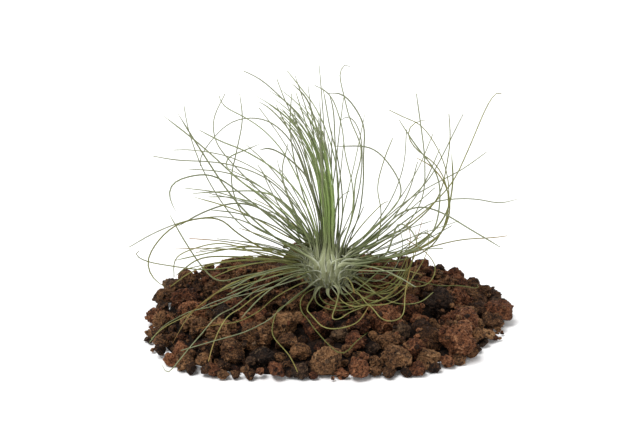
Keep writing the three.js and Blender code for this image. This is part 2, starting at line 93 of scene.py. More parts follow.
@dataclass
class Shape:
    """Points and faces on the way to a mesh, with named numbers for each point.

    Args:
        points: one row for each point, in millimetres.
        faces: arrays of point numbers, one row for each face. All of an array's faces have the
            same number of corners.
        marks: for each name, one number for each point, which the finish reads.
    """

    points: np.ndarray
    faces: list[np.ndarray]
    marks: dict[str, np.ndarray] = field(default_factory=dict)

    @staticmethod
    def joined(shapes: Sequence["Shape"]) -> "Shape":
        """Several shapes as one, with each one's point numbers moved on by the points before it.

        Args:
            shapes: the shapes.

        Returns:
            One shape that holds them all.
        """
        starts = np.cumsum([0] + [len(shape.points) for shape in shapes[:-1]])
        faces = [f + start for shape, start in zip(shapes, starts) for f in shape.faces]
        names = shapes[0].marks
        marks = {name: np.concatenate([shape.marks[name] for shape in shapes]) for name in names}
        return Shape(np.concatenate([shape.points for shape in shapes]), faces, marks)

    def marked(self, **numbers: float) -> "Shape":
        """The same shape, with one number for all of its points under each name."""
        marks = {name: np.full(len(self.points), number) for name, number in numbers.items()}
        return Shape(self.points, self.faces, marks)

    def piece(self, name: str, finish: "Finish", smooth: bool = True) -> bpy.types.Object:
        """Makes the mesh and its object, whose place is in the mesh.

        Args:
            name: the piece's name.
            finish: what it is covered with.
            smooth: whether the shading runs on over the edges.

        Returns:
            The object, linked to the scene.
        """
        mesh = bpy.data.meshes.new(name)
        corners = np.concatenate([f.ravel() for f in self.faces]).astype(np.int32)
        sizes = np.concatenate([np.full(len(f), f.shape[1]) for f in self.faces])
        starts = np.concatenate([[0], np.cumsum(sizes)[:-1]]).astype(np.int32)
        mesh.vertices.add(len(self.points))
        mesh.vertices.foreach_set("co", (self.points * MM).astype(np.float32).ravel())
        mesh.loops.add(len(corners))
        mesh.loops.foreach_set("vertex_index", corners)
        mesh.polygons.add(len(sizes))
        mesh.polygons.foreach_set("loop_start", starts)
        mesh.polygons.foreach_set("use_smooth", np.full(len(sizes), smooth))
        for mark, numbers in self.marks.items():
            attribute = mesh.attributes.new(mark, "FLOAT", "POINT")
            attribute.data.foreach_set("value", numbers.astype(np.float32))
        mesh.update(calc_edges=True)
        mesh.materials.append(finish.material())
        made = bpy.data.objects.new(name, mesh)
        bpy.context.scene.collection.objects.link(made)
        return made


def turned(level: np.ndarray, height: np.ndarray, around: int) -> np.ndarray:
    """Rings around the axis: at each turn a point lies at level * cos, level * sin and height.

    Args:
        level: how far each ring is from the axis.
        height: how high each ring is.
        around: how many points a ring has.

    Returns:
        The points, by ring and by place around it.
    """
    turn = np.linspace(0, 2 * math.pi, around, endpoint=False)
    level, height = level[:, None], height[:, None]
    return np.stack(np.broadcast_arrays(level * np.cos(turn), level * np.sin(turn), height), -1)


def ring_surface(
    rings: np.ndarray, first: Sequence[float], last: Sequence[float] | None = None
) -> Shape:
    """A surface of rings, which starts as a fan around its first point.

    Args:
        rings: points by ring and by place around it, from the first point outwards and down.
        first: the point inside the first ring.
        last: the point that a second fan runs to from the last ring, where that is closed.

    Returns:
        The surface, which faces away from its inside.
    """
    count, around, _ = rings.shape
    here = np.arange(around)
    after = (here + 1) % around
    row = 1 + np.arange(count - 1)[:, None] * around
    sides = np.stack([row + here, row + here + around, row + after + around, row + after], -1)
    points = [[first], rings.reshape(-1, 3)]
    faces = [np.stack([0 * here, 1 + here, 1 + after], -1), sides.reshape(-1, 4)]
    if last is not None:
        rim = 1 + (count - 1) * around
        points.append([last])
        faces.append(np.stack([0 * here + rim + around, rim + after, rim + here], -1))
    return Shape(np.concatenate(points), faces)


def ride(made: bpy.types.Object, slot: str, *nodes: str) -> None:
    """Puts a piece on the body.

    Args:
        made: the piece.
        slot: the record's finish that it has; not used.
        nodes: the CAD nodes that it stands for.
    """
    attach(made, BODY)
    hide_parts(*nodes)
    log.info("%s: %d faces, stands for %s", made.name, len(made.data.polygons), ", ".join(nodes))


# ---------------------------------------------------------------- finishes


def paint(code: str) -> tuple[float, float, float, float]:
    """A colour given as six hexadecimal digits, as the linear colour that shaders use.

    A channel below 0.04045 is divided by 12.92, and another is ((c + 0.055) / 1.055) to the power 2.4.

    Args:
        code: two digits each for red, green and blue.

    Returns:
        Red, green and blue as linear shares, and 1 for opaque.
    """
    channels = [int(code[i : i + 2], 16) / 255 for i in (0, 2, 4)]
    linear = [c / 12.92 if c < 0.04045 else ((c + 0.055) / 1.055) ** 2.4 for c in channels]
    return (*linear, 1.0)


class Value:
    """A number that varies over a surface: one output of a node, for use in expressions."""

    def __init__(self, sheet: "NodeSheet", socket: bpy.types.NodeSocket) -> None:
        """Wraps a socket.

        Args:
            sheet: the node sheet that the socket is on.
            socket: the output that holds the number.
        """
        self.sheet = sheet
        self.socket = socket

    def _math(self, operation: str, *inputs: "Value | float", clamp: bool = False) -> "Value":
        """A Math node on these inputs."""
        settings = {"operation": operation, "use_clamp": clamp}
        return self.sheet.node("ShaderNodeMath", settings, dict(enumerate(inputs)))

    def __add__(self, other: "Value | float") -> "Value":
        """The sum."""
        return self._math("ADD", self, other)

    def __sub__(self, other: "Value | float") -> "Value":
        """The difference."""
        return self._math("SUBTRACT", self, other)

    def __rsub__(self, other: float) -> "Value":
        """The difference, with the number first."""
        return self._math("SUBTRACT", other, self)

    def __mul__(self, other: "Value | float") -> "Value":
        """The product."""
        return self._math("MULTIPLY", self, other)

    __radd__ = __add__
    __rmul__ = __mul__

    def __mod__(self, other: float) -> "Value":
        """What is left over by a division."""
        return self._math("FLOORED_MODULO", self, other)

    def __abs__(self) -> "Value":
        """The size without its sign."""
        return self._math("ABSOLUTE", self)

    def rising(self, low: float, high: float) -> "Value":
        """0 below low and 1 above high, with a soft S between them.

        Args:
            low: up to where it is 0.
            high: from where it is 1.

        Returns:
            The number in between.
        """
        settings = {"interpolation_type": "SMOOTHSTEP"}
        sockets = {0: self, 1: low, 2: high, 3: 0.0, 4: 1.0}
        return self.sheet.node("ShaderNodeMapRange", settings, sockets)

    def kept(self) -> "Value":
        """The same number, held between 0 and 1."""
        return self._math("ADD", self, 0.0, clamp=True)


class NodeSheet:
    """A material's nodes, laid by name."""

    def __init__(self, name: str) -> None:
        """Starts an empty material.

        Args:
            name: the material's name.
        """
        self.made = bpy.data.materials.new(name)
        self.made.use_nodes = True
        self.made.node_tree.nodes.clear()

    def node(self, kind: str, settings: dict, sockets: dict, output: int | str = 0) -> Value | None:
        """Lays one node.

        Args:
            kind: the node's type.
            settings: its settings, which are set first; a ramp's stops come under the name stops.
            sockets: for each input, by name or number, a number, a colour's code or a Value.
            output: the output that is given back.

        Returns:
            That output, or None from a node that has none.
        """
        laid = self.made.node_tree.nodes.new(kind)
        for key, setting in settings.items():
            if key == "stops":
                self._set_stops(laid.color_ramp, setting)
            else:
                setattr(laid, key, setting)
        for key, given in sockets.items():
            if isinstance(given, Value):
                self.made.node_tree.links.new(given.socket, laid.inputs[key])
            else:
                laid.inputs[key].default_value = paint(given) if isinstance(given, str) else given
        return Value(self, laid.outputs[output]) if laid.outputs else None

    @staticmethod
    def _set_stops(ramp: bpy.types.ColorRamp, stops: Sequence[tuple]) -> None:
        """Gives a ramp its stops, each a place from 0 to 1 and a colour's code.

        Args:
            ramp: the ramp.
            stops: the stops.
        """
        while len(ramp.elements) < len(stops):
            ramp.elements.new(1.0)
        for element, (place, code) in zip(ramp.elements, stops):
            element.position = place
            element.color = paint(code)

    def mark(self, name: str) -> Value:
        """The number that the mesh's points hold under a name."""
        return self.node("ShaderNodeAttribute", {"attribute_name": name}, {}, "Fac")

    def place(self) -> Value:
        """The place on the object, in metres."""
        return self.node("ShaderNodeTexCoord", {}, {}, "Object")

    def noise(self, at: Value, size: float, detail: float = 3.0, roughness: float = 0.55) -> Value:
        """Cloudy noise from 0 to 1, whose clouds are about size millimetres across."""
        sockets = {"Vector": at, "Scale": 1 / (size * MM), "Detail": detail, "Roughness": roughness}
        return self.node("ShaderNodeTexNoise", {}, sockets)

    def cells(self, at: Value, size: float) -> Value:
        """How far the nearest cell's middle is, in cells of about size millimetres."""
        sockets = {"Vector": at, "Scale": 1 / (size * MM)}
        return self.node("ShaderNodeTexVoronoi", {}, sockets, "Distance")

    def blend(self, share: "Value | float", first: "Value | str", second: "Value | str") -> Value:
        """The first colour at 0 and the second at 1."""
        return self.node("ShaderNodeMix", {"data_type": "RGBA"}, {0: share, 6: first, 7: second}, 2)

    def coated(self, colour: Value, *coats: tuple["Value | float", "Value | str"]) -> Value:
        """A colour with coats over it in order, each given as its share and its colour.

        Args:
            colour: what is underneath.
            coats: the coats, the lowest first.

        Returns:
            The colour that is seen.
        """
        for share, over in coats:
            colour = self.blend(share, colour, over)
        return colour

    def relief(self, height: Value, depth: float) -> Value:
        """A bumped normal, where a height of 1 stands depth millimetres proud."""
        sockets = {"Height": height, "Distance": depth * MM, "Strength": 1.0}
        return self.node("ShaderNodeBump", {}, sockets)

    def surface(self, **sockets: "Value | float") -> bpy.types.Material:
        """Ends the sheet with a Principled shader.

        Args:
            sockets: the shader's inputs, with an underscore for each space.

        Returns:
            The finished material.
        """
        named = {key.replace("_", " "): given for key, given in sockets.items()}
        shader = self.node("ShaderNodeBsdfPrincipled", {}, named)
        self.node("ShaderNodeOutputMaterial", {}, {"Surface": shader})
        return self.made


class Finish:
    """What a piece is covered with. Each kind lays its own nodes once."""

    def material(self) -> bpy.types.Material:
        """The material, laid the first time it is asked for."""
        found = bpy.data.materials.get(self.name)
        return found or self.lay(NodeSheet(self.name))


@dataclass(frozen=True)
class Lava(Finish):
    """Porous lava rock.

    The mark tone gives each stone its own shade, from dark to light; worn is 1 along its edges,
    which are painted lighter, partly as wear and partly as a painted highlight; and hollow is 1 in its
    pores, which are painted dark as painted shade.

    Args:
        name: the finish's name.
        dark: the colour of the darkest stones.
        middle: the colour between them.
        light: the colour of the lightest stones.
        dust_and_highlight: the colour of the worn corners, partly wear and partly a painted highlight.
        depths: the colour of the painted shade inside the pores.
        pore: how far apart the pores are, in millimetres.
        fine_pore: the same of the finer pores between them.
        grain: the size of the broken rock's grains, in millimetres.
        rough: how high the grains and pores stand or sink, in millimetres.
    """

    name: str
    dark: str
    middle: str
    light: str
    dust_and_highlight: str
    # depths is the colour of the painted shade in the pores and on the heap
    depths: str = "0d0806"
    pore: float = 1.5
    fine_pore: float = 0.7
    grain: float = 0.75
    rough: float = 0.9

    def lay(self, sheet: NodeSheet) -> bpy.types.Material:
        """Lays the nodes: cloudy colour by stone and place, uneven pores painted dark as painted shade,
        edges painted lighter as wear and painted highlight, a relief.

        Args:
            sheet: the empty sheet.

        Returns:
            The finished material.
        """
        at = sheet.place()
        clouds = sheet.noise(at, 5.0, 4.0, 0.7)
        patches = sheet.noise(at, 2.6, 2.0)
        grain = sheet.noise(at, self.grain, 5.0, 0.8)
        uneven = (grain - 0.5) * 0.9 + (patches - 0.5) * 1.3
        pores = 1 - (sheet.cells(at, self.pore) + uneven).rising(0.12, 0.42)
        fine_pores = 1 - (sheet.cells(at, self.fine_pore) + uneven * 0.6).rising(0.14, 0.44)
        hollow, worn = sheet.mark("hollow"), sheet.mark("worn")
        tone = (sheet.mark("tone") - 0.5) * 0.75
        # worn lightens the edges here: partly wear, partly a painted highlight
        shade = tone + (clouds - 0.5) * 1.5 + (grain - 0.5) * 2.9 + worn * 0.25 + 0.46
        stops = ((0.0, self.dark), (0.5, self.middle), (1.0, self.light))
        colour = sheet.node("ShaderNodeValToRGB", {"stops": stops}, {"Fac": shade.kept()})
        # lighter on worn edges and high grains: partly wear, partly a painted highlight
        wear_and_highlight_share = (worn * 0.5 + grain * 0.8 + clouds * 0.4).rising(0.8, 1.15) * 0.75
        # painted shade: the pores, and the heap through its mark, darkened towards depths
        depth = (pores * 0.6 + fine_pores * 0.4 + hollow * 0.75).kept()
        colour = sheet.coated(colour, (wear_and_highlight_share, self.dust_and_highlight), (depth * 0.9, self.depths))
        height = grain * 0.8 - pores * 0.9 - fine_pores * 0.45
        return sheet.surface(
            Base_Color=colour,
            Roughness=(0.8 + grain * 0.25).kept(),
            Specular_IOR_Level=0.2,
            Normal=sheet.relief(height, self.rough),
        )


@dataclass(frozen=True)
class Leaf(Finish):
    """A leaf of the air plant: silvery at the base, where fine scales cover it, and green above.

    The marks are from_base, the distance from where the blade leaves the bulb, in millimetres;
    share, the same from 0 to 1; across, from edge to edge as -1 to 1; under, 1 on the outer side,
    which is painted a little darker as painted shade; tone and age, drawn for each leaf.
    """

    name: str = "frosted_leaf"
    scales: str = "a2a582"
    # pale sheath edges at the base, partly a painted highlight
    margin_and_highlight: str = "cdd0bc"
    fresh: str = "688338"
    lime: str = "a0b274"
    grey: str = "808b58"
    deep: str = "3f4a22"
    # the colour of the painted shade between the leaf bases and near the bulb
    gap_shade: str = "2c321a"
    frost: str = "a6ac86"
    old: str = "66642c"
    straw: str = "aaa468"
    dry: str = "94683a"
    tip: str = "888b72"

    def lay(self, sheet: NodeSheet) -> bpy.types.Material:
        """Lays the nodes: one coat over another, on a green between deep and grey.

        From below: the yellow of old leaves, frost or straw, the grey tips, dry ends, the bright
        green of young leaves, painted shade in the groove, silver scales at the bulb, pale margins that
        are partly a painted highlight, mottling there, and painted shade between the leaf bases and
        near the bulb.

        Args:
            sheet: the empty sheet.

        Returns:
            The finished material.
        """
        from_base, share = sheet.mark("from_base"), sheet.mark("share")
        across, under = abs(sheet.mark("across")), sheet.mark("under")
        tone, age = sheet.mark("tone"), sheet.mark("age")
        at = sheet.place()
        streak_at = sheet.node(
            "ShaderNodeCombineXYZ", {}, {0: from_base * 0.0002, 1: across * 0.002, 2: tone * 0.3}
        )
        streaks = sheet.noise(streak_at, 0.5, 2.0)
        clouds = sheet.noise(at, 5.0, 2.0)
        green = sheet.blend((tone * 1.4 + clouds * 0.5 - 0.3).kept(), self.deep, self.grey)
        bloom = sheet.blend(age.rising(0.1, 0.5), self.frost, self.straw)
        # the outer side gets less frost, painted a little darker as painted shade
        frost = streaks.rising(0.3, 0.75) * 0.3 + (tone * 7 % 1) * 0.4 + age * 0.2 - under * 0.1
        young = tone.rising(0.3, 0.78) * from_base.rising(4, 26)
        young = young * (1 - share.rising(0.4, 0.95) * 0.75)
        bright = sheet.blend((streaks.rising(0.3, 0.7) + tone * 9 % 1) * 0.5, self.fresh, self.lime)
        silver = (1 - (from_base + clouds * 6).rising(1.0, 15.0)) * 0.85
        at_base = 1 - from_base.rising(0.0, 8.0)
        some = (tone * 11 % 1).rising(0.3, 0.8) * 0.75 + clouds.rising(0.35, 0.65) * 0.25
        # painted shade: down the middle of the sheath's base, and on the blade near the bulb, more on
        # old leaves
        shade = (1 - across.rising(0.0, 0.6)) * at_base * clouds * 0.3
        near_bulb_shade = from_base.rising(-3, 4) * (1 - from_base.rising(6, 26))
        colour = sheet.coated(
            green,
            ((age + (clouds - 0.5) * 0.4).kept() * 0.85, self.old),
            (frost.kept(), bloom),
            (share.rising(0.12, 0.6) * (0.8 - age * 3).kept(), self.tip),
            (share.rising(0.7, 1.0) * age.rising(0.62, 0.92), self.dry),
            (young, bright),
            # painted shade down the leaf's channel, less on young leaves
            ((1 - across.rising(0.1, 0.75)) * (0.42 - young * 0.22), self.deep),
            (silver, self.scales),
            # pale edges at the base, partly a painted highlight
            (across.rising(0.45, 0.95) * at_base * some, self.margin_and_highlight),
            (sheet.noise(at, 0.9, 3.0, 0.7).rising(0.42, 0.62) * at_base * 0.2, self.deep),
            # painted shade between the leaf bases and near the bulb
            ((shade + near_bulb_shade * (0.1 + age.rising(0, 0.3) * 0.3)).kept(), self.gap_shade),
        )
        return sheet.surface(
            Base_Color=colour,
            Roughness=(0.58 + silver * 0.2 + streaks * 0.1).kept(),
            Specular_IOR_Level=0.12,
            Normal=sheet.relief(streaks + clouds * 0.5, 0.08),
        )


@dataclass(frozen=True)
class Paper(Finish):
    """The plain pale surface under the object."""

    name: str = "pale_floor"
    colour: str = "fbfbfb"
    shade: str = "f2f2f2"

    def lay(self, sheet: NodeSheet) -> bpy.types.Material:
        """Lays the nodes: white with a hardly visible grain.

        Args:
            sheet: the empty sheet.

        Returns:
            The finished material.
        """
        grain = sheet.noise(sheet.place(), 2.0)
        colour = sheet.blend(grain * 0.03, self.colour, self.shade)
        return sheet.surface(Base_Color=colour, Roughness=0.9, Specular_IOR_Level=0.1)


# ---------------------------------------------------------------- lava gravel


class Tint(Enum):
    """The gravel's colour families. Each is a finish and a piece of its own."""

    UMBER = Lava("umber_lava", "1c0f08", "4c321f", "86603f", "a07b5a")
    RUST = Lava("rust_lava", "281207", "643c26", "926242", "ab815e")
    OCHRE = Lava("ochre_lava", "2c1a0e", "6a4a30", "96704c", "b59a76")
    SLATE = Lava("slate_lava", "160d08", "3e2c20", "6b533c", "90785c")


UMBER, RUST, OCHRE, SLATE = Tint
SLOTS = {UMBER: "dark_lava", RUST: "red_lava", OCHRE: "tan_lava", SLATE: "dark_lava"}


@dataclass
class Stone:
    """One stone of the bed.

    Args:
        at: where its middle is.
        radius: its radius before it is shaped.
        tint: its colour family, or None until one is drawn.
        node: the CAD node that it stands for, if that is one of its own.
        tone: how light it is, from 0 to 1, or None where that is drawn.
    """

    at: tuple[float, float, float]
    radius: float
    tint: Tint | None
    node: str = ""
    tone: float | None = None


LARGE_STONES = (
    Stone((61, -50, 9), 10.5, RUST, "lava_stone_red_front_right", 0.8),
    Stone((31, -66, 6.8), 7.6, OCHRE, "lava_stone_tan_front", 0.5),
    Stone((46, -63, 5.4), 5.6, OCHRE, "lava_stone_tan_small", 0.7),
    Stone((12, -72, 5), 5.4, RUST, "lava_stone_red_block", 0.6),
    Stone((-2, -69, 6.6), 7.4, OCHRE, "lava_stone_porous_front", 0.65),
    Stone((-24, -73, 4.4), 4.8, RUST, "lava_stone_red_front_left", 0.55),
    Stone((-50, -43, 10.4), 8.4, OCHRE, "lava_stone_ochre_left", 0.8),
    Stone((-37, -34, 12), 7.6, RUST, "lava_stone_red_left", 0.85),
    Stone((86, -8, 6.8), 7.2, RUST, "lava_stone_red_right_tip", 0.45),
    Stone((55, -9, 12), 8.2, SLATE, "lava_stone_dark_right", 0.15),
    Stone((-17, 57, 13), 9.5, RUST, "lava_stone_back", 0.5),
)

# Stones of the gravel that show one by one from the front: (across, back, radius, tint).
SEEN_STONES = (
    (-68, -61, 4.4, OCHRE), (-79, -50, 4.8, UMBER), (-58, -64, 4.9, UMBER),
    (-56, -70.5, 4.4, UMBER), (-48, -69, 4.5, UMBER), (-38, -72, 3.6, OCHRE),
    (-31, -73, 3.4, RUST), (-13, -74, 4.4, SLATE), (-31, -62, 5.8, SLATE),
    (-14, -59, 5.6, UMBER), (8, -57, 4.6, UMBER), (21, -55, 4.2, SLATE),
    (21, -66, 3.6, OCHRE), (35, -38, 5.4, SLATE), (44, -23, 4.4, RUST),
    (52, -31, 3.8, OCHRE), (-2, -27, 4.4, RUST), (77, -31, 4.4, OCHRE),
    (-16, -27, 5.6, OCHRE), (5, -42, 5.2, SLATE), (-82, -31, 4.8, UMBER),
    (-77, 11, 5, UMBER), (-5, -53, 3.6, RUST), (73, -22, 3.8, OCHRE),
    (-64, 43, 5.8, OCHRE), (55, 48, 5.6, RUST),
)

# Small stones that lie on the floor along the front: (across, back, radius, tint).
LOOSE_STONES = (
    (40, -70, 4.6, RUST), (27, -72, 3.4, OCHRE), (48, -67, 3.2, UMBER),
    (54, -61, 3.8, RUST), (20.5, -71, 4.0, UMBER), (5, -73, 3.8, RUST),
    (-42.5, -74, 3.2, OCHRE), (-48, -74, 3.2, UMBER), (-63, -68, 3.8, UMBER),
    (-74, -57, 3.2, RUST), (69, -44, 3.4, UMBER), (74, -37, 3.2, SLATE),
    (83, -20, 3.6, UMBER), (-18, -73, 3.2, UMBER), (-7.5, -74, 3.0, RUST),
    (60, -58, 3.4, OCHRE), (90, -2, 3.0, UMBER), (-52, -71, 4.0, RUST),
    (-36, -74, 3.6, UMBER), (-66, -64, 4.2, UMBER), (-73, -59, 4.2, RUST),
    (35, -71, 3.4, UMBER), (66, -50, 3.6, UMBER), (79, -29, 3.6, RUST),
)

# Stones that lie on top of the others at the back: (across, back, height, radius, tint).
HEAPED_STONES = (
    (42, 60, 8.4, 5.4, UMBER), (52, 55, 8.8, 5.2, RUST), (61, 49, 7.8, 4.8, UMBER),
    (69, 44, 7.6, 5.0, RUST), (77, 35, 6.2, 4.6, UMBER), (83, 26, 5.6, 4.8, OCHRE),
    (60, 36, 9.6, 4.6, UMBER), (70, 27, 8.8, 4.4, RUST), (-57, 50, 7.0, 5.4, RUST),
    (-48, 57, 6.6, 5.2, UMBER), (-34, 60, 9.2, 5.4, RUST), (77, 10, 5.4, 5.2, UMBER),
)


@dataclass(frozen=True)
class Grade:
    """Stones of one size that are thrown at the bed.

    Args:
        tries: how many are thrown.
        radius: their least and greatest radius.
        inside: the share of the bed's reach that stays free of them.
    """

    tries: int
    radius: tuple[float, float]
    inside: float = 0.0


def directions(rng: np.random.Generator, *size: int) -> np.ndarray:
    """Unit vectors drawn evenly over all directions."""
    drawn = rng.normal(size=(*size, 3))
    return drawn / np.linalg.norm(drawn, axis=-1, keepdims=True)


@dataclass(frozen=True)
class Hollows:
    """Round hollows in a stone.

    Args:
        number: how many each stone has.
        radius: their least and greatest radius, as angles in radians seen from the stone's middle.
        depth: how deep they are, in shares of their radius.
    """

    number: int
    radius: tuple[float, float]
    depth: float

    def sunk(
        self, ball: np.ndarray, small: np.ndarray, rng: np.random.Generator
    ) -> tuple[np.ndarray, np.ndarray]:
        """Draws the hollows. Each takes away depth * radius * (1 - (angle / radius) squared).

        Args:
            ball: the directions in which a stone's reach is worked out.
            small: for each stone, how much smaller than usual its hollows are.
            rng: draws their places and sizes.

        Returns:
            How much the deepest takes away in each direction, and how far in it lies, from 0 to 1.
        """
        middles = directions(rng, len(small), self.number)
        radius = rng.uniform(*self.radius, size=(len(small), 1, self.number)) * small
        angle = np.arccos(np.clip(np.einsum("vk,spk->svp", ball, middles), -1, 1))
        each = np.maximum(0, 1 - (angle / radius) ** 2)
        return (self.depth * radius * each).max(-1), each.max(-1)


@dataclass
class StoneShapes:
    """What is drawn for the shapes of some stones, one row for each stone.

    Args:
        waves: the soft waves' directions.
        phases: where each soft wave starts.
        chips: which way each flat chip faces.
        depths: how far each chip is from the middle, as a share of the radius.
    """

    waves: np.ndarray
    phases: np.ndarray
    chips: np.ndarray
    depths: np.ndarray

    def of(self, chosen: np.ndarray) -> "StoneShapes":
        """The rows of the chosen stones."""
        rows = (self.waves, self.phases, self.chips, self.depths)
        return StoneShapes(*(drawn[chosen] for drawn in rows))


@dataclass
class LavaBed:
    """The gravel: large stones, gravel in several grades, and the heap under them, painted dark as the
    shade between the stones.

    Lengths are in millimetres. A stone's heights, depths and flats are shares of its radius.
    """

    half_width: float = 95.0
    half_depth: float = 80.0
    power_right: float = 2.0
    power_left: float = 3.0
    heap_share: float = 0.87
    heap_top: float = 8.8
    heap_rim: float = 0.8
    heap_lowered: float = 0.8
    heap_bumps: float = 0.9
    heap_waves: tuple[float, float, float, float] = (1.1, 0.7, 0.9, 0.5)
    heap_sectors: int = 128
    heap_rings: int = 40
    dimple_radius: float = 24.0
    dimple_depth: float = 4.0
    sieve: tuple[Grade, ...] = (
        Grade(1500, (5.2, 6.6), 0.86),
        Grade(120, (8.2, 9.6)),
        Grade(700, (7.2, 8.2)),
        Grade(1500, (5.6, 7.0)),
        Grade(110, (4.8, 5.6)),
    )
    packing: float = 0.77
    rim_inset: float = 1.02
    rise: float = 0.45
    rest_height: float = 0.6
    flatness: float = 0.86
    soft_waves: int = 3
    soft_height: float = 0.06
    soft_pitch: float = 2.6
    chips: int = 5
    chip_depth: tuple[float, float] = (0.7, 0.94)
    shape_seed: int = 20261
    shrink: tuple[float, float] = (0.86, 1.0)
    shrink_lift: float = 0.6
    small_sieve: tuple[Grade, ...] = (
        Grade(5000, (2.3, 3.6)),
        Grade(7000, (1.3, 2.3)),
    )
    small_share: float = 0.975
    small_clear: float = 0.62
    small_apart: float = 0.8
    small_packing: float = 0.84
    small_proud: float = 0.9
    loose_rest: float = 0.74
    leaf_reach: float = 1.05
    small_seed: int = 80803
    flats: int = 11
    flat_depth: tuple[float, float] = (0.55, 0.97)
    scoops: Hollows = Hollows(3, (0.45, 0.9), 0.3)
    edge: float = 0.05
    rough_waves: int = 14
    rough_pitch: tuple[float, float] = (8.0, 26.0)
    rough_height: float = 0.5
    crest: float = 0.6
    # how strongly edges and crests are marked worn, which the finish paints lighter: partly wear,
    # partly a painted highlight
    edge_wear_and_highlight: float = 0.7
    ridge_wear_and_highlight: float = 2.4
    pores: Hollows = Hollows(22, (0.07, 0.34), 0.46)
    pore_size: float = 5.0
    stretch: tuple[float, float] = (0.72, 1.24)
    fixed_stretch: tuple[float, float] = (0.96, 1.14)
    turned_below: float = 4.3
    detail_seed: int = 517
    split_above: tuple[tuple[float, int], ...] = ((7.6, 5), (3.4, 4), (2.0, 3), (0.0, 2))
    tint_shares: tuple[tuple[Tint, float], ...] = (
        (UMBER, 0.5), (RUST, 0.82), (OCHRE, 0.93), (SLATE, 1.0)
    )

    def __post_init__(self) -> None:
        """Throws the stones, so that the leaves can be laid over them."""
        self.stones, self.shapes = self.scatter()

    def edge_share(self, x: np.ndarray, y: np.ndarray) -> np.ndarray:
        """The share of the way from the middle to the edge that a point lies at.

        The outline is |x / half width| to a power plus |y / half depth| to the same power = 1, with a
        power for each side of x = 0.

        Args:
            x: how far to the right.
            y: how far back.

        Returns:
            0 in the middle, 1 at the edge and more beyond it.
        """
        power = np.where(x > 0, self.power_right, self.power_left)
        total = np.abs(x / self.half_width) ** power + np.abs(y / self.half_depth) ** power
        return total ** (1 / power)

    def heap_height(self, x: np.ndarray, y: np.ndarray) -> np.ndarray:
        """The heap's height: a dome that falls with the square of the edge share, less a dimple.

        Args:
            x: how far to the right.
            y: how far back.

        Returns:
            The height above the floor.
        """
        dome = self.heap_rim + (self.heap_top - self.heap_rim) * (1 - self.edge_share(x, y) ** 2)
        nearness = 1 - (x**2 + y**2) / self.dimple_radius**2
        return dome - self.dimple_depth * np.maximum(0, nearness)

    def ground_height(self, points: np.ndarray, stones: Sequence[Stone], reach: float) -> np.ndarray:
        """How high the tallest of some stones is at each point.

        A stone counts as a ball of its radius times reach, flattened: its top is its middle plus
        flatness times the root of the reach squared less the level distance squared.

        Args:
            points: the points, whose own heights don't count.
            stones: the stones.
            reach: how much larger than its radius a stone counts.

        Returns:
            A height for each point, which is 0 where there is no stone.
        """
        places = np.array([stone.at for stone in stones], float)
        radii = np.array([stone.radius for stone in stones], float)
        left = (radii * reach) ** 2 - ((points[:, None, :2] - places[:, :2]) ** 2).sum(-1)
        tops = places[:, 2] + self.flatness * np.sqrt(np.maximum(left, 0))
        return np.where(left > 0, tops, 0).max(1)

    def scatter(self) -> tuple[list[Stone], StoneShapes]:
        """Lays the frame's stones, a little smaller, and fills the seams between them.

        Returns:
            The stones, and the waves and chips that shape them.
        """
        rough = Draws(self.shape_seed)
        fine = Draws(self.small_seed)
        stones = list(LARGE_STONES)
        shapes = [self.drawn_shape(rough) for _ in stones]
        for x, y, radius, tint in SEEN_STONES:
            stones.append(self.laid(x, y, radius, tint))
            shapes.append(self.drawn_shape(rough))
        for grade in self.sieve:
            for _ in range(grade.tries):
                stone = self.thrown(rough, grade, stones)
                if stone:
                    stones.append(stone)
                    shapes.append(self.drawn_shape(rough))
        as_packed = list(stones)
        stones = [stone if stone.node else self.worn(stone, fine) for stone in stones]
        for x, y, radius, tint in LOOSE_STONES:
            stones.append(Stone((x, y, radius * self.loose_rest), radius, tint))
            shapes.append(self.drawn_shape(fine))
        for *at, radius, tint in HEAPED_STONES:
            stones.append(Stone(tuple(at), radius, tint))
            shapes.append(self.drawn_shape(fine))
        for grade in self.small_sieve:
            for _ in range(grade.tries):
                stone = self.settled(fine, grade, as_packed, stones)
                if stone:
                    stones.append(stone)
                    shapes.append(self.drawn_shape(fine))
        waves, phases, chips, depths = (np.array(drawn) for drawn in zip(*shapes))
        return stones, StoneShapes(waves, phases, chips, depths)

    def spot(self, draws: Draws, grade: Grade) -> tuple[float, float, float]:
        """Draws a place in the bed's box and a radius of a grade, the radius first.

        Args:
            draws: where they come from.
            grade: the grade.

        Returns:
            The two level coordinates and the radius.
        """
        radius = draws.between(grade.radius)
        x = draws.between((-self.half_width, self.half_width))
        return x, draws.between((-self.half_depth, self.half_depth)), radius

    def thrown(self, draws: Draws, grade: Grade, others: Sequence[Stone]) -> Stone | None:
        """Throws a stone at the bed as the frame does.

        Args:
            draws: where its radius and place come from.
            grade: its grade.
            others: the stones that lie there.

        Returns:
            The stone, or None where it lands outside the bed or too near another.
        """
        x, y, radius = self.spot(draws, grade)
        share = float(self.edge_share(x, y))
        if share < grade.inside or share > 1 - radius * self.rim_inset / self.half_depth:
            return None
        for other in others:
            near = self.packing * (radius + other.radius)
            if (x - other.at[0]) ** 2 + (y - other.at[1]) ** 2 <= near**2:
                return None
        return self.laid(x, y, radius, None)

    def laid(self, x: float, y: float, radius: float, tint: Tint | None) -> Stone:
        """A stone of the gravel, which lies on the heap or on the floor. Its tint may come later."""
        z = max(radius * self.rest_height, float(self.heap_height(x, y)) + self.rise * radius)
        return Stone((x, y, z), radius, tint)

    def worn(self, stone: Stone, draws: Draws) -> Stone:
        """A frame's stone a little smaller, with its top nearly where it was, and its own tint.

        Args:
            stone: the frame's stone.
            draws: where its size and tint come from.

        Returns:
            The smaller stone.
        """
        radius = stone.radius * draws.between(self.shrink)
        x, y, z = stone.at
        lift = self.shrink_lift * self.flatness * (stone.radius - radius)
        drawn = self.drawn_tint(draws)
        return Stone((x, y, max(radius * self.rest_height, z + lift)), radius, stone.tint or drawn)

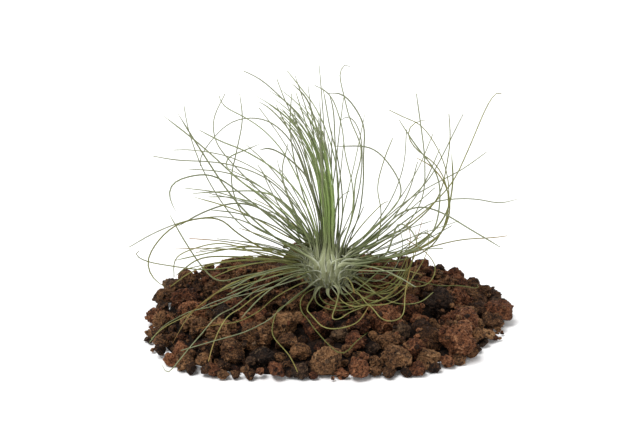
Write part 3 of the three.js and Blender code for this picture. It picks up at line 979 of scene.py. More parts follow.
    def settled(
        self, draws: Draws, grade: Grade, packed: Sequence[Stone], others: Sequence[Stone]
    ) -> Stone | None:
        """Drops a small stone onto the large ones, where it stays if it lands low, in a seam.

        It comes to rest at the greatest height of z + flatness * root of ((R + r) squared less the
        level distance squared) over the stones under it, each a little smaller for the contact.

        Args:
            draws: where its radius and place come from.
            grade: its grade.
            packed: the frame's stones at their full size.
            others: the stones that lie there, the large ones first.

        Returns:
            The stone, or None where it would stand on top of another.
        """
        x, y, radius = self.spot(draws, grade)
        tint = self.drawn_tint(draws)
        if float(self.edge_share(x, y)) > self.small_share - radius / self.half_depth:
            return None
        places = np.array([other.at for other in others], float)
        radii = np.array([other.radius for other in others], float)
        apart = np.hypot(x - places[:, 0], y - places[:, 1])
        is_small = np.arange(len(others)) >= len(packed)
        nearest = np.where(is_small, self.small_apart * (radii + radius), self.small_clear * radii)
        if (apart < nearest).any():
            return None
        touching = np.maximum(0, (self.small_packing * (radii + radius)) ** 2 - apart**2)
        rests = np.where(touching > 0, places[:, 2] + self.flatness * np.sqrt(touching), 0)
        on_heap = float(self.heap_height(x, y))
        z = max(radius * self.rest_height, on_heap, float(rests[~is_small].max()))
        ground = float(self.ground_height(np.array([[x, y, 0.0]]), packed, 1.0)[0])
        if z + self.flatness * radius > max(ground, 2 * radius) + self.small_proud * radius:
            return None
        return Stone((x, y, z), radius, tint)

    def drawn_tint(self, draws: Draws) -> Tint:
        """A tint, by the share of the gravel that has it."""
        share = draws.share()
        return next(tint for tint, upto in self.tint_shares if share <= upto)

    def drawn_shape(self, draws: Draws) -> tuple:
        """Draws a stone's waves, their phases, its chips and their depths, in the frame's order.

        Args:
            draws: where they come from.

        Returns:
            The waves' directions and phases, and the chips' directions and depths.
        """
        phases = (0, 2 * math.pi)
        waves = [(draws.direction(), draws.between(phases)) for _ in range(self.soft_waves)]
        chips = [(draws.direction(), draws.between(self.chip_depth)) for _ in range(self.chips)]
        return (*zip(*waves), *zip(*chips))

    @staticmethod
    def unit_ball(rounds: int) -> tuple[np.ndarray, np.ndarray]:
        """The points and faces of an icosahedron of radius 1, split some times.

        Args:
            rounds: how often it is split.

        Returns:
            The points, and three of them for each face.
        """
        ball = bmesh.new()
        bmesh.ops.create_icosphere(ball, subdivisions=rounds, radius=1.0)
        points = np.array([v.co for v in ball.verts])
        faces = np.array([[v.index for v in f.verts] for f in ball.faces])
        ball.free()
        return points / np.linalg.norm(points, axis=1)[:, None], faces

    def moulded(self, ball: np.ndarray, shapes: StoneShapes) -> np.ndarray:
        """How far each stone reaches in each direction, as the frame's solids do.

        It is 1, plus height * cos(pitch * direction . wave + phase) for each soft wave, and at most
        depth / (direction . chip) for each chip.

        Args:
            ball: the directions.
            shapes: the stones' waves and chips.

        Returns:
            A row of reaches for each stone, in shares of its radius.
        """
        soft = np.einsum("vk,swk->svw", ball, shapes.waves) * self.soft_pitch
        reach = 1 + self.soft_height * np.cos(soft + shapes.phases[:, None]).sum(-1)
        facing = np.einsum("vk,sck->svc", ball, shapes.chips)
        limit = shapes.depths[:, None] / np.maximum(facing, 1e-3)
        return np.minimum(reach, np.where(facing > 0, limit, np.inf).min(-1))

    def broken(
        self, ball: np.ndarray, count: int, rng: np.random.Generator
    ) -> tuple[np.ndarray, np.ndarray]:
        """Draws broken faces. In each direction the nearest one lies at depth / (direction . flat).

        Args:
            ball: the directions.
            count: how many stones there are.
            rng: draws the flats.

        Returns:
            How far away the nearest one is, and how close to an edge between two, from 0 to 1.
        """
        facing = np.einsum("vk,sck->svc", ball, directions(rng, count, self.flats))
        depths = rng.uniform(*self.flat_depth, size=(count, 1, self.flats))
        limit = np.where(facing > 0, depths / np.maximum(facing, 1e-3), np.inf)
        nearest, next_one = np.moveaxis(np.sort(limit, axis=-1)[..., :2], -1, 0)
        nearest = np.minimum(nearest, NO_FLAT)
        apart = np.minimum(next_one, NO_FLAT + 1) - nearest
        return nearest, np.exp(-((apart / self.edge) ** 2))

    def ridges(self, ball: np.ndarray, count: int, rng: np.random.Generator) -> np.ndarray:
        """Draws rough waves with sharp crests.

        Each adds height / pitch * (crest - |cos(pitch * direction . wave + phase)|).

        Args:
            ball: the directions.
            count: how many stones there are.
            rng: draws the waves.

        Returns:
            How much they add to each stone in each direction.
        """
        waves = directions(rng, count, self.rough_waves)
        pitch = rng.uniform(*self.rough_pitch, size=(count, 1, self.rough_waves))
        phase = rng.uniform(0, 2 * math.pi, size=(count, 1, self.rough_waves))
        waved = np.einsum("vk,swk->svw", ball, waves) * pitch + phase
        return (self.rough_height / pitch * (self.crest - np.abs(np.cos(waved)))).sum(-1)

    def set_down(
        self, points: np.ndarray, stones: Sequence[Stone], rng: np.random.Generator
    ) -> np.ndarray:
        """Gives stones their sizes and places. The small ones are stretched and turned too.

        Args:
            points: the points of each stone, around its middle and in shares of its radius.
            stones: the stones.
            rng: draws the stretch and the turn.

        Returns:
            The points in place, with none below the floor.
        """
        radii = np.array([stone.radius for stone in stones])[:, None, None]
        stretch = rng.uniform(*self.stretch, size=(len(stones), 1, 3))
        fixed = rng.uniform(*self.fixed_stretch, size=(len(stones), 1, 3))
        turns = np.array([Euler(rng.uniform(0, 2 * math.pi, 3)).to_matrix() for _ in stones])
        loose = np.einsum("svk,slk->svl", points * stretch, turns)
        points = np.where(radii > self.turned_below, points * fixed, loose) * radii
        points[..., 2] *= self.flatness
        points += np.array([stone.at for stone in stones])[:, None]
        points[..., 2] = np.maximum(points[..., 2], 0)
        return points

    def stones_shape(
        self, stones: Sequence[Stone], shapes: StoneShapes, rounds: int, rng: np.random.Generator
    ) -> list[Shape]:
        """Models stones: moulded, cut by broken faces, ridged, then sunk by scoops and pores.

        Args:
            stones: the stones.
            shapes: their waves and chips.
            rounds: how often the icosahedron is split.
            rng: draws what the frame's stones don't have.

        Returns:
            One shape for each stone, with its tone, how deep in its pores each point lies, which the
            finish paints as painted shade, and its worn edges, which it paints lighter as wear and
            painted highlight.
        """
        ball, faces = self.unit_ball(rounds)
        small = np.array([min(1, self.pore_size / stone.radius) for stone in stones])[:, None, None]
        flats, worn = self.broken(ball, len(stones), rng)
        ridges = self.ridges(ball, len(stones), rng)
        scooped, _ = self.scoops.sunk(ball, small, rng)
        sunk, hollow = self.pores.sunk(ball, small, rng)
        reach = np.minimum(self.moulded(ball, shapes), flats) + ridges - scooped - sunk
        # worn edges and crests are painted lighter by the finish: partly wear, partly a painted
        # highlight
        worn = np.clip(worn * self.edge_wear_and_highlight + ridges / self.rough_height * self.ridge_wear_and_highlight, 0, 1)
        worn *= 1 - hollow
        points = self.set_down(ball * reach[..., None], stones, rng)
        drawn = rng.uniform(0, 1, size=len(stones))
        tones = [t if stone.tone is None else stone.tone for stone, t in zip(stones, drawn)]
        marks = zip(np.broadcast_to(np.array(tones)[:, None], hollow.shape), hollow, worn)
        return [
            Shape(points[i], [faces], dict(zip(("tone", "hollow", "worn"), numbers)))
            for i, numbers in enumerate(marks)
        ]

    def heap_shape(self) -> Shape:
        """The heap under the stones, painted dark as the shade between them: rings from the middle to
        the rim, then flat underneath.

        A ring's point lies at ring * heap share / edge share of its direction, at the heap's height
        less lowered, with bumps of cos(x) * cos(y) waves that bend each other.

        Returns:
            The heap, marked as dark as the shade between stones.
        """
        turn = np.linspace(0, 2 * math.pi, self.heap_sectors, endpoint=False)
        ring = np.linspace(0, 1, self.heap_rings)[1:, None]
        reach = ring * self.heap_share / self.edge_share(np.cos(turn), np.sin(turn))
        x, y = reach * np.cos(turn), reach * np.sin(turn)
        along_x, bent_x, along_y, bent_y = self.heap_waves
        bumps = np.cos(x * along_x + np.sin(y * bent_x)) * np.cos(y * along_y + np.sin(x * bent_y))
        z = np.maximum(self.heap_height(x, y) - self.heap_lowered + self.heap_bumps * bumps, 0.3)
        z[-1] = 0
        top = (0, 0, float(self.heap_height(0.0, 0.0)) - self.heap_lowered)
        heap = ring_surface(np.stack([x, y, z], -1), top, (0, 0, 0))
        # painted shade: the heap is marked dark, for the shade between the stones
        return heap.marked(tone=0.0, hollow=0.8, worn=0.0)

    def build(self) -> None:
        """Makes the heap, the eleven large stones and a piece for each tint of the gravel."""
        rng = np.random.default_rng(self.detail_seed)
        by_tint: dict[Tint, list[Shape]] = {tint: [] for tint in Tint}
        rounds = np.array(
            [next(n for least, n in self.split_above if stone.radius > least) for stone in self.stones]
        )
        for splits in sorted(set(rounds), reverse=True):
            chosen = np.flatnonzero(rounds == splits)
            stones = [self.stones[i] for i in chosen]
            shapes = self.stones_shape(stones, self.shapes.of(chosen), int(splits), rng)
            for stone, shape in zip(stones, shapes):
                if stone.node:
                    name = stone.node.replace("lava_stone", "scoria")
                    made = shape.piece(name, stone.tint.value, smooth=False)
                    ride(made, SLOTS[stone.tint], stone.node)
                else:
                    by_tint[stone.tint].append(shape)
        for tint, shapes in by_tint.items():
            name = f"gravel_{tint.name.lower()}"
            made = Shape.joined(shapes).piece(name, tint.value, smooth=False)
            ride(made, SLOTS[tint], GRAVEL_NODE)
        heap = self.heap_shape().piece("gravel_heap_painted_shade", UMBER.value)
        ride(heap, SLOTS[UMBER], GRAVEL_NODE)


# ---------------------------------------------------------------- the plant


# The leaves' points are given as they line up, seen from EYE, with a board that stands across the
# middle of the plant: (across, height).
EYE = np.array([-4.0, -566.0, 227.0])

# Leaves that stand clear of the gravel: how far the tip lies behind the board, and the points. The
# depth grows evenly from point to point.
ARCHED = (
    # the upright tuft, from the right over to the left
    (4, (12, 55), (13, 72), (16, 88), (10, 104), (7, 116), (5, 126), (7, 130), (10, 129)),
    (-10, (15, 55), (17, 71), (17, 86), (17, 100), (12, 110), (6, 116), (-1, 116)),
    (12, (13, 59), (16, 76), (15, 97), (10, 105), (6, 103)),
    (-16, (11, 52), (12, 68), (8, 86), (6, 101), (0, 116), (-7, 120)),
    (20, (7, 57), (4, 86), (1, 97), (-2, 114), (-3, 119)),
    (-6, (5, 55), (4, 76), (3, 93), (2, 109), (0, 116)),
    (-4, (0, 57), (3, 78), (5, 97), (7, 114)),
    (28, (5, 57), (4, 78), (-1, 97), (-7, 110), (-13, 118), (-20, 127)),
    (-24, (-3, 62), (-4, 88), (-7, 103), (-11, 114), (-18, 121)),
    (6, (-3, 57), (-7, 81), (-14, 98), (-21, 112), (-25, 123)),
    (-12, (-4, 57), (-6, 74), (-13, 95), (-23, 109)),
    (-14, (2, 57), (-4, 82), (-13, 103), (-24, 115), (-33, 123), (-41, 127)),
    (14, (-4, 52), (-9, 70), (-14, 88), (-20, 99), (-29, 109), (-34, 112)),
    (-28, (-5, 57), (-10, 73), (-20, 84), (-29, 89), (-34, 88)),
    (30, (-11, 59), (-17, 83), (-19, 100), (-18, 116)),
    (40, (-16, 55), (-23, 76), (-20, 91)),
    # the fan to the left
    (44, (-22, 41), (-40, 51), (-48, 71), (-45, 88), (-42, 103), (-43, 116)),
    (36, (-5, 53), (-10, 71), (-19, 93), (-31, 103), (-47, 102), (-62, 86), (-63, 80)),
    (-10, (-7, 52), (-15, 73), (-23, 88), (-33, 99), (-42, 105), (-51, 110), (-53, 115)),
    (16, (-10, 41), (-20, 53), (-36, 69), (-48, 82), (-55, 92), (-56, 103), (-50, 116)),
    (38, (-20, 37), (-43, 49), (-59, 72), (-68, 97), (-70, 110)),
    (-22, (-28, 44), (-46, 62), (-62, 87), (-73, 106)),
    (30, (-18, 48), (-33, 64), (-43, 72), (-62, 90), (-80, 105)),
    (-8, (-7, 47), (-12, 61), (-24, 76), (-42, 88), (-52, 92), (-63, 98)),
    (24, (-8, 47), (-20, 65), (-28, 73), (-47, 84), (-67, 88), (-76, 88)),
    (-18, (-10, 49), (-23, 67), (-33, 75), (-46, 80), (-57, 82), (-75, 83), (-86, 85)),
    (10, (-12, 46), (-32, 64), (-48, 76), (-51, 81), (-50, 84), (-41, 88), (-34, 91)),
    (-30, (-18, 44), (-40, 63), (-57, 75), (-67, 75), (-77, 71), (-79, 65), (-76, 57)),
    (42, (-13, 51), (-26, 64), (-36, 67), (-48, 67), (-67, 66)),
    (-20, (-12, 36), (-28, 44), (-43, 52), (-53, 54), (-70, 52), (-86, 46), (-100, 38)),
    (8, (-12, 42), (-28, 55), (-38, 60), (-48, 61), (-63, 56), (-75, 49)),
    # low on the left
    (-34, (-12, 32), (-28, 35), (-45, 45), (-55, 53), (-73, 51), (-83, 44), (-91, 31), (-89, 22),
     (-83, 17)),
    (20, (-16, 27), (-41, 23), (-56, 20), (-64, 28), (-73, 43), (-79, 55)),
    (-8, (-13, 31), (-33, 30), (-61, 26), (-79, 28), (-93, 31), (-97, 34), (-95, 36)),
    (14, (-12, 30), (-30, 33), (-53, 40), (-68, 37), (-77, 32), (-78, 22)),
    (28, (-14, 33), (-36, 38), (-50, 37), (-64, 34), (-77, 31)),
    (-2, (-16, 30), (-46, 33), (-65, 32), (-77, 23)),
    (8, (-14, 29), (-24, 31), (-53, 30), (-69, 25), (-80, 17)),
    # the fan to the right, which turns upwards
    (22, (18, 35), (37, 48), (51, 60), (61, 72), (68, 88), (76, 109), (80, 116), (83, 116)),
    (-10, (15, 40), (28, 53), (41, 64), (56, 73), (65, 78), (77, 87)),
    (34, (16, 39), (34, 57), (49, 73), (55, 84), (60, 95), (65, 106)),
    (-26, (20, 34), (43, 51), (54, 64), (58, 82), (59, 95), (58, 106)),
    (8, (18, 29), (40, 32), (52, 39), (58, 51), (59, 71), (54, 87), (44, 101), (37, 104), (29, 108)),
    (-18, (18, 31), (40, 35), (52, 46), (55, 65), (53, 76), (42, 91), (34, 103)),
    (24, (18, 31), (38, 34), (56, 45), (59, 65), (53, 80), (42, 89), (38, 97), (42, 102), (48, 103)),
    (-36, (16, 36), (37, 48), (46, 63), (47, 82), (44, 104), (42, 116)),
    (14, (18, 30), (42, 36), (57, 47), (60, 60), (57, 71), (50, 80), (43, 84)),
    (-12, (18, 30), (40, 36), (57, 53), (61, 70), (60, 86)),
    (30, (15, 35), (27, 43), (41, 54), (51, 61), (61, 63), (73, 63), (85, 61), (93, 63)),
    (-16, (15, 37), (27, 48), (36, 56), (46, 59), (56, 56), (71, 47), (86, 38)),
    (10, (19, 29), (42, 35), (54, 39), (67, 42), (82, 43), (89, 44)),
    (-30, (23, 39), (26, 56), (24, 69), (27, 83), (31, 94)),
    (18, (13, 39), (25, 51), (34, 61), (36, 68), (31, 79), (21, 89), (3, 90)),
    (-22, (16, 29), (28, 33), (32, 43), (35, 51), (42, 46), (45, 36)),
    (12, (16, 28), (28, 32), (40, 39), (47, 46), (54, 42)),
)

# Leaves that hang over the gravel and lie on it: (across, height, true height above the floor). The
# true height says how far in front of the board the point lies.
DRAPED = (
    # to the left and over the edge
    ((-11, 29, 30), (-26, 27, 28), (-41, 16, 23), (-57, 7, 18), (-74, 2, 13), (-92, -17, 3)),
    ((-10, 26, 28), (-29, 24, 26), (-49, 19, 22), (-61, 10, 17), (-75, -1, 12), (-91, -16, 3)),
    ((-11, 25, 28), (-33, 17, 22), (-49, 5, 18), (-66, -10, 13), (-79, -26, 5), (-83, -31, 3),
     (-86, -26, 3)),
    ((-7, 19, 23), (-19, 10, 20), (-29, 0, 18), (-41, -7, 16), (-60, -13, 13), (-76, -18, 9)),
    ((-11, 23, 26), (-34, 15, 21), (-54, 10, 18)),
    ((-11, 24, 27), (-29, 19, 23), (-47, 13, 20), (-65, 5, 15)),
    ((-6, 21, 24), (-12, 15, 21), (-24, 4, 17), (-29, -6, 16), (-28, -11, 15), (-20, -21, 11),
     (-16, -30, 6)),
    # in front of the bulb, with the bends and hooks of old leaves
    ((-7, 16, 19), (-14, 9, 17), (-14, 4, 16), (-4, -10, 14), (5, -20, 12), (8, -20, 12),
     (14, -13, 14), (20, -8, 14)),
    ((-7, 14, 19), (-6, 8, 16), (5, 4, 16), (18, 7, 17), (30, 12, 20), (37, 22, 27), (40, 34, 36)),
    ((4, 17, 21), (7, 12, 18), (14, 15, 20), (26, 26, 28), (35, 36, 38)),
    ((5, 16, 21), (4, 8, 18), (2, -2, 15), (14, 4, 16), (25, 10, 18)),
    ((11, 22, 23), (15, 21, 23), (18, 22, 25), (16, 26, 27)),
    ((9, 18, 20), (17, 12, 18), (28, 11, 18), (37, 19, 24), (40, 32, 34)),
    ((-7, 13, 18), (-11, 4, 16), (0, -6, 15), (14, -3, 15), (21, 6, 17)),
    # to the right, over the stones
    ((10, 18, 20), (17, 9, 17), (29, -2, 16), (37, 0, 16), (39, 15, 22), (42, 32, 34)),
    ((15, 18, 20), (28, 9, 17), (45, 8, 17), (53, 14, 19)),
    ((16, 22, 22), (36, 18, 19), (50, 18, 20), (54, 27, 28), (49, 35, 36), (39, 42, 44)),
    ((16, 24, 25), (32, 23, 22), (53, 18, 18), (67, 16, 15), (76, 16, 15), (75, 18, 16)),
)


# Thinner and older leaves of the same kind: olive ones in front, and dry ones that turn up at the
# right.
FINE_DRAPED = (
    ((-5, 15, 19), (-3, 9, 16), (7, 6, 16), (19, 9, 17), (31, 16, 22), (38, 27, 31)),
    ((-1, 15, 19), (3, 9, 17), (12, 8, 17), (22, 11, 18), (30, 17, 22)),
    ((2, 16, 20), (8, 8, 17), (17, 5, 16), (27, 9, 18), (35, 17, 23)),
    ((5, 17, 21), (14, 7, 17), (24, 6, 17), (33, 14, 20), (40, 24, 28), (43, 34, 36)),
    ((12, 22, 23), (22, 17, 20), (32, 20, 24), (38, 30, 33), (41, 44, 46), (38, 52, 53)),
    ((13, 20, 22), (24, 13, 19), (34, 17, 22), (41, 28, 31), (44, 42, 44), (47, 54, 55)),
    ((10, 16, 20), (22, 8, 17), (36, 14, 20), (45, 26, 29), (50, 38, 40), (49, 48, 49)),
    ((12, 24, 25), (26, 20, 23), (35, 30, 33), (37, 42, 44), (33, 52, 53)),
    ((8, 15, 19), (16, 6, 16), (28, 4, 17), (36, 10, 19), (43, 24, 28), (45, 34, 36)),
    ((14, 22, 23), (28, 16, 20), (38, 24, 28), (44, 36, 38), (43, 48, 49)),
    ((-12, 22, 25), (-30, 16, 21), (-46, 4, 18), (-58, -12, 12), (-62, -24, 9)),
    ((-11, 20, 24), (-26, 12, 20), (-38, 2, 18), (-52, -4, 16), (-68, -6, 13)),
    ((-13, 26, 28), (-36, 20, 23), (-56, 14, 19), (-72, 0, 13), (-80, -16, 8)),
)


# The young leaves in the heart lie between these two lines, given like the arched leaves' points.
HEART_LEFT = ((-2.5, 44), (-3.4, 60), (-6.5, 75), (-12, 89), (-21, 101), (-35, 111), (-49, 117))
HEART_RIGHT = ((2.5, 44), (3, 60), (1.8, 75), (-1, 90), (-5.5, 103), (-13, 114), (-22, 121))


@dataclass(frozen=True)
class Tuft:
    """Leaves that are drawn within limits.

    Args:
        count: how many.
        bearing: turned from +X to +Y.
        rise: above level.
        length: in millimetres.
        bow: how far the rise has turned at the tip.
        sweep: how far the bearing has turned at the tip.
    """

    count: int
    bearing: tuple[float, float]
    rise: tuple[float, float]
    length: tuple[float, float]
    bow: tuple[float, float]
    sweep: tuple[float, float]


TUFTS = (
    Tuft(12, (110, 250), (76, 87), (58, 92), (-22, 2), (-8, 8)),
    Tuft(6, (-60, 80), (80, 88), (52, 84), (-4, 22), (-9, 9)),
    Tuft(7, (155, 208), (38, 60), (60, 88), (-52, -12), (-16, 16)),
    Tuft(4, (-14, 24), (26, 44), (50, 76), (20, 56), (-12, 20)),
    Tuft(14, (48, 138), (14, 62), (56, 86), (-46, 18), (-26, 26)),
    Tuft(5, (196, 244), (4, 18), (42, 66), (-30, -12), (-24, 10)),
    Tuft(5, (-72, -18), (6, 26), (36, 56), (-34, 4), (6, 46)),
)

# Finer leaves that fill the heart of the plant and its foot.
FINE_TUFTS = (
    Tuft(8, (0, 360), (20, 60), (14, 34), (-20, 10), (-20, 20)),
    Tuft(11, (158, 206), (4, 30), (34, 66), (-34, -8), (-18, 18)),
    Tuft(9, (-30, 24), (6, 34), (30, 60), (-20, 24), (-10, 26)),
    Tuft(4, (215, 325), (2, 16), (16, 34), (-30, -6), (-30, 30)),
)


def behind_board(across: float, height: float, depth: float) -> np.ndarray:
    """A leaf's point: where the line of sight past a point of the board reaches a depth behind it."""
    on_board = np.array([across, 0.0, height])
    return on_board + (on_board - EYE) * depth / -EYE[1]


def heading(turn: np.ndarray, up: np.ndarray) -> np.ndarray:
    """Unit vectors at an azimuth and an elevation, both in degrees."""
    turn, up = np.radians(turn), np.radians(up)
    return np.stack([np.cos(turn) * np.cos(up), np.sin(turn) * np.cos(up), np.sin(up)], -1)


def smooth_line(points: np.ndarray, steps: int) -> np.ndarray:
    """A centripetal Catmull-Rom curve through points.

    Between two points it is the cubic that leaves and arrives with tangents worked out from the
    neighbours, each step weighed by the square root of its length.

    Args:
        points: the points that it passes.
        steps: how many steps it takes from one to the next.

    Returns:
        The curve's points.
    """
    before = 2 * points[:1] - points[1:2]
    after = 2 * points[-1:] - points[-2:-1]
    padded = np.concatenate([before, points, after])
    p0, p1, p2, p3 = padded[:-3], padded[1:-2], padded[2:-1], padded[3:]
    d0, d1, d2 = (
        np.maximum(np.linalg.norm(b - a, axis=1), 1e-6)[:, None] ** 0.5
        for a, b in ((p0, p1), (p1, p2), (p2, p3))
    )
    leave = ((p1 - p0) / d0 - (p2 - p0) / (d0 + d1) + (p2 - p1) / d1) * d1
    arrive = ((p2 - p1) / d1 - (p3 - p1) / (d1 + d2) + (p3 - p2) / d2) * d1
    t = np.linspace(0, 1, steps, endpoint=False)[None, :, None]
    a, b, c, d = p1, leave, -3 * p1 + 3 * p2 - 2 * leave - arrive, 2 * p1 - 2 * p2 + leave + arrive
    spans = a[:, None] + b[:, None] * t + c[:, None] * t**2 + d[:, None] * t**3
    return np.concatenate([spans.reshape(-1, 3), points[-1:]])


def distances_along(line: np.ndarray) -> np.ndarray:
    """How far along a line each of its points lies."""
    return np.concatenate([[0], np.cumsum(np.linalg.norm(np.diff(line, axis=0), axis=1))])


def points_at(line: np.ndarray, along: np.ndarray, stops: np.ndarray) -> np.ndarray:
    """The points of a line at some stops, where along says at which stop each of its own lies."""
    return np.stack([np.interp(stops, along, numbers) for numbers in line.T], -1)


def eased(line: np.ndarray, reach: float) -> np.ndarray:
    """Rounds a line's corners: each point becomes the mean of its neighbours, weighed by nearness.

    Args:
        line: the line, whose ends stay where they are.
        reach: how far a neighbour still counts for about a third, in millimetres.

    Returns:
        The line at as many points, evenly spaced.
    """
    along = distances_along(line)
    stops = np.linspace(0, along[-1], len(line))
    even = points_at(line, along, stops)
    to_end = np.minimum(stops, stops[-1] - stops)[:, None]
    near = np.minimum(reach, 0.5 * to_end + 1e-6)
    weights = np.exp(-(((stops[:, None] - stops) / near) ** 2))
    return weights @ even / weights.sum(1, keepdims=True)


@dataclass(frozen=True)
class Strip:
    """How wide and thick a leaf is along its line, in millimetres.

    In a pair, the first number is for a leaf at the top of the bulb, and the second one is what a
    leaf at its waist has more.
    """

    narrowest: float = 0.37
    taper: float = 0.12
    flare: tuple[float, float] = (0.26, 0.2)
    flare_length: tuple[float, float] = (6.0, 5.0)
    point: float = 12.0
    blunt: float = 0.08
    sheath: tuple[float, float] = (0.5, 0.7)
    sheath_width_power: float = 0.8
    sheath_length: float = 3.6
    sheath_end: float = 1.6
    channel: float = 0.5
    thick: float = 0.27
    thick_by_width: float = 0.08
    thin_by_share: float = 0.05

    def on_bulb(self, blade: np.ndarray) -> np.ndarray:
        """How far the sheath reaches: exp(-((distance past it / sheath length) to a power))."""
        return np.exp(-((blade / self.sheath_length) ** self.sheath_end))

    def half_width(
        self, blade: np.ndarray, share: np.ndarray, low: np.ndarray, width: np.ndarray, wide: np.ndarray
    ) -> np.ndarray:
        """Half the width: a blade's, which tapers and ends in a point, plus a sheath's.

        The blade's is narrowest + taper * (1 - share) + flare * exp(-distance / flare length), times
        the square root of point * (1 - share) near the tip.

        Args:
            blade: how far past the sheath's end each station lies.
            share: the same as a share of the blade.
            low: how near to the bulb's waist the leaf sits, from 0 to 1.
            width: the width of the leaf's group, in shares of the usual.
            wide: the leaf's own width, in shares of the usual.

        Returns:
            A half width for each station.
        """
        flare, flare_length, sheath = (
            high + more * low for high, more in (self.flare, self.flare_length, self.sheath)
        )
        tapering = self.narrowest + self.taper * (1 - share) + flare * np.exp(-blade / flare_length)
        point = np.sqrt(np.clip((1 - share) * self.point, self.blunt, 1))
        sheath = sheath * width**self.sheath_width_power * self.on_bulb(blade)
        return wide * tapering * point + sheath


@dataclass
class Rosette:
    """The air plant: a bulb of clasping leaf bases and the leaves that grow out of them.

    Each leaf is one strip. Its base, the sheath, lies on the bulb like an artichoke's scale, and its
    blade goes on from there through the leaf's own points. Lengths are in millimetres, angles in
    degrees. The groups are the heart, the arched, draped and finer draped leaves, the drawn ones, the
    finer drawn ones and the scales.
    """

    bed: LavaBed
    strip: Strip = Strip()
    bulb_height: float = 27.0
    bulb_radius: float = 12.2
    above: float = 13.0
    below: float = 10.5
    root_depth: tuple[float, float] = (-9, 8)
    root_spread: float = 3.4
    tuft_spans: int = 4
    first_span: float = 12.0
    group_widths: tuple[float, ...] = (0.74, 0.94, 0.57, 0.46, 0.74, 0.58, 0.9)
    group_aging: tuple[float, ...] = (0, 0, 0, 0.3, 0.05, 0.2, 0)
    leaf_width: tuple[float, float] = (0.78, 1.16)
    twist: float = 0.9
    twist_power: float = 0.8
    young_tone: tuple[float, float] = (0.76, 1.0)
    grown_tone: tuple[float, float] = (0.0, 0.62)
    least_fresh: float = 0.4
    age_from: float = 18.0
    age_over: float = 75.0
    age_noise: float = 0.16
    bracts: int = 72
    bract_from: float = 60.0
    bract_turn: float = 137.508
    bract_tone: float = 0.086
    bract_elevation: tuple[float, float] = (36, -46)
    bract_turns: tuple[float, ...] = (9, 18, 28)
    bract_peel: tuple[float, ...] = (1.03, 1.06, 1.1)
    young_leaves: int = 16
    young_depth: tuple[float, float] = (-10, -3)
    young_reach: tuple[float, float] = (0.6, 1.0)
    leaf_seed: int = 4711
    fine_seed: int = 90210
    detail_seed: int = 33
    slot_elevation: tuple[float, float] = (84, -34)
    shoulder: float = 32.0
    sheath_span: float = 68.0
    sheath_points: int = 5
    sheath_lowest: float = -84.0
    sheath_depth: tuple[float, float] = (0.84, 1.03)
    sheath_hold: float = 4.0
    core_share: float = 0.86
    core_top: float = 0.7
    bridge_slope: float = 0.35
    bridge_round: float = 4.0
    easing: float = 3.5
    clearance: float = 0.7
    curve_steps: int = 12
    crowding: float = 0.45
    stations: int = 56
    corners: int = 8

    def arched(self, row: tuple, draws: Draws) -> np.ndarray:
        """The points of a leaf that stands clear of the gravel.

        Args:
            row: the tip's depth, and the points on the board.
            draws: where the root's depth comes from.

        Returns:
            The points, the lowest first.
        """
        tip_depth, *passed = row
        root = draws.between(self.root_depth)
        depths = root + (tip_depth - root) * np.arange(1, len(passed) + 1) / len(passed)
        return np.array([behind_board(*at, depth) for at, depth in zip(passed, depths)])

    @staticmethod
    def draped(row: tuple) -> np.ndarray:
        """The points of a leaf that hangs: the depth follows from the true height.

        Args:
            row: for each point, how far across, how high it is seen and its true height.

        Returns:
            The points, the one nearest to the bulb first.
        """
        across, seen, height = np.array(row, float).T
        depths = EYE[1] * (height - seen) / (EYE[2] - seen)
        return np.array([behind_board(*at) for at in zip(across, seen, depths)])

    def drawn(self, tuft: Tuft, draws: Draws) -> np.ndarray:
        """The points of a drawn leaf, each one step on from the last as its rise and bearing turn.

        Args:
            tuft: its limits.
            draws: where its numbers come from.

        Returns:
            The points, the one nearest to the bulb first.
        """
        bearing, rise = draws.between(tuft.bearing), draws.between(tuft.rise)
        step = draws.between(tuft.length) / self.tuft_spans
        bow, sweep = draws.between(tuft.bow), draws.between(tuft.sweep)
        share = np.linspace(0, 1, self.tuft_spans)
        steps = np.full((self.tuft_spans, 1), step)
        steps[0] += self.first_span
        spans = heading(bearing + sweep * share, rise + bow * share) * steps
        return np.cumsum(spans, axis=0) + (0, 0, self.bulb_height)

    def all_points(self) -> list[np.ndarray]:
        """The points of every leaf, from the blade's first one to the tip.

        Returns:
            The points of each leaf, group by group, without the scales.
        """
        draws = Draws(self.leaf_seed)
        arched = [self.arched(row, draws) for row in ARCHED]
        drawn = [self.drawn(tuft, draws) for tuft in TUFTS for _ in range(tuft.count)]
        fine_draws = Draws(self.fine_seed)
        heart = [self.young(i / self.young_leaves, fine_draws) for i in range(self.young_leaves)]
        fine = [self.drawn(tuft, fine_draws) for tuft in FINE_TUFTS for _ in range(tuft.count)]
        draped = [self.draped(row) for row in (*DRAPED, *FINE_DRAPED)]
        return [*heart, *arched, *draped, *drawn, *fine]

    def young(self, across: float, draws: Draws) -> np.ndarray:
        """The points of a leaf of the heart, between the left and the right line and cut short.

        Args:
            across: where it starts, from 0 at the left line to 1 at the right one.
            draws: where the rest comes from.

        Returns:
            The points, the lowest first.
        """
        across += draws.share() / self.young_leaves
        depth = draws.between(self.young_depth)
        passed = (1 - across) * np.array(HEART_LEFT, float) + across * np.array(HEART_RIGHT, float)
        last = len(passed) - 1
        stops = np.linspace(0, draws.between(self.young_reach) * last, last + 1)
        cut_short = points_at(passed, np.arange(last + 1), stops)
        return np.array([behind_board(*at, depth * (1 - i / last)) for i, at in enumerate(cut_short)])

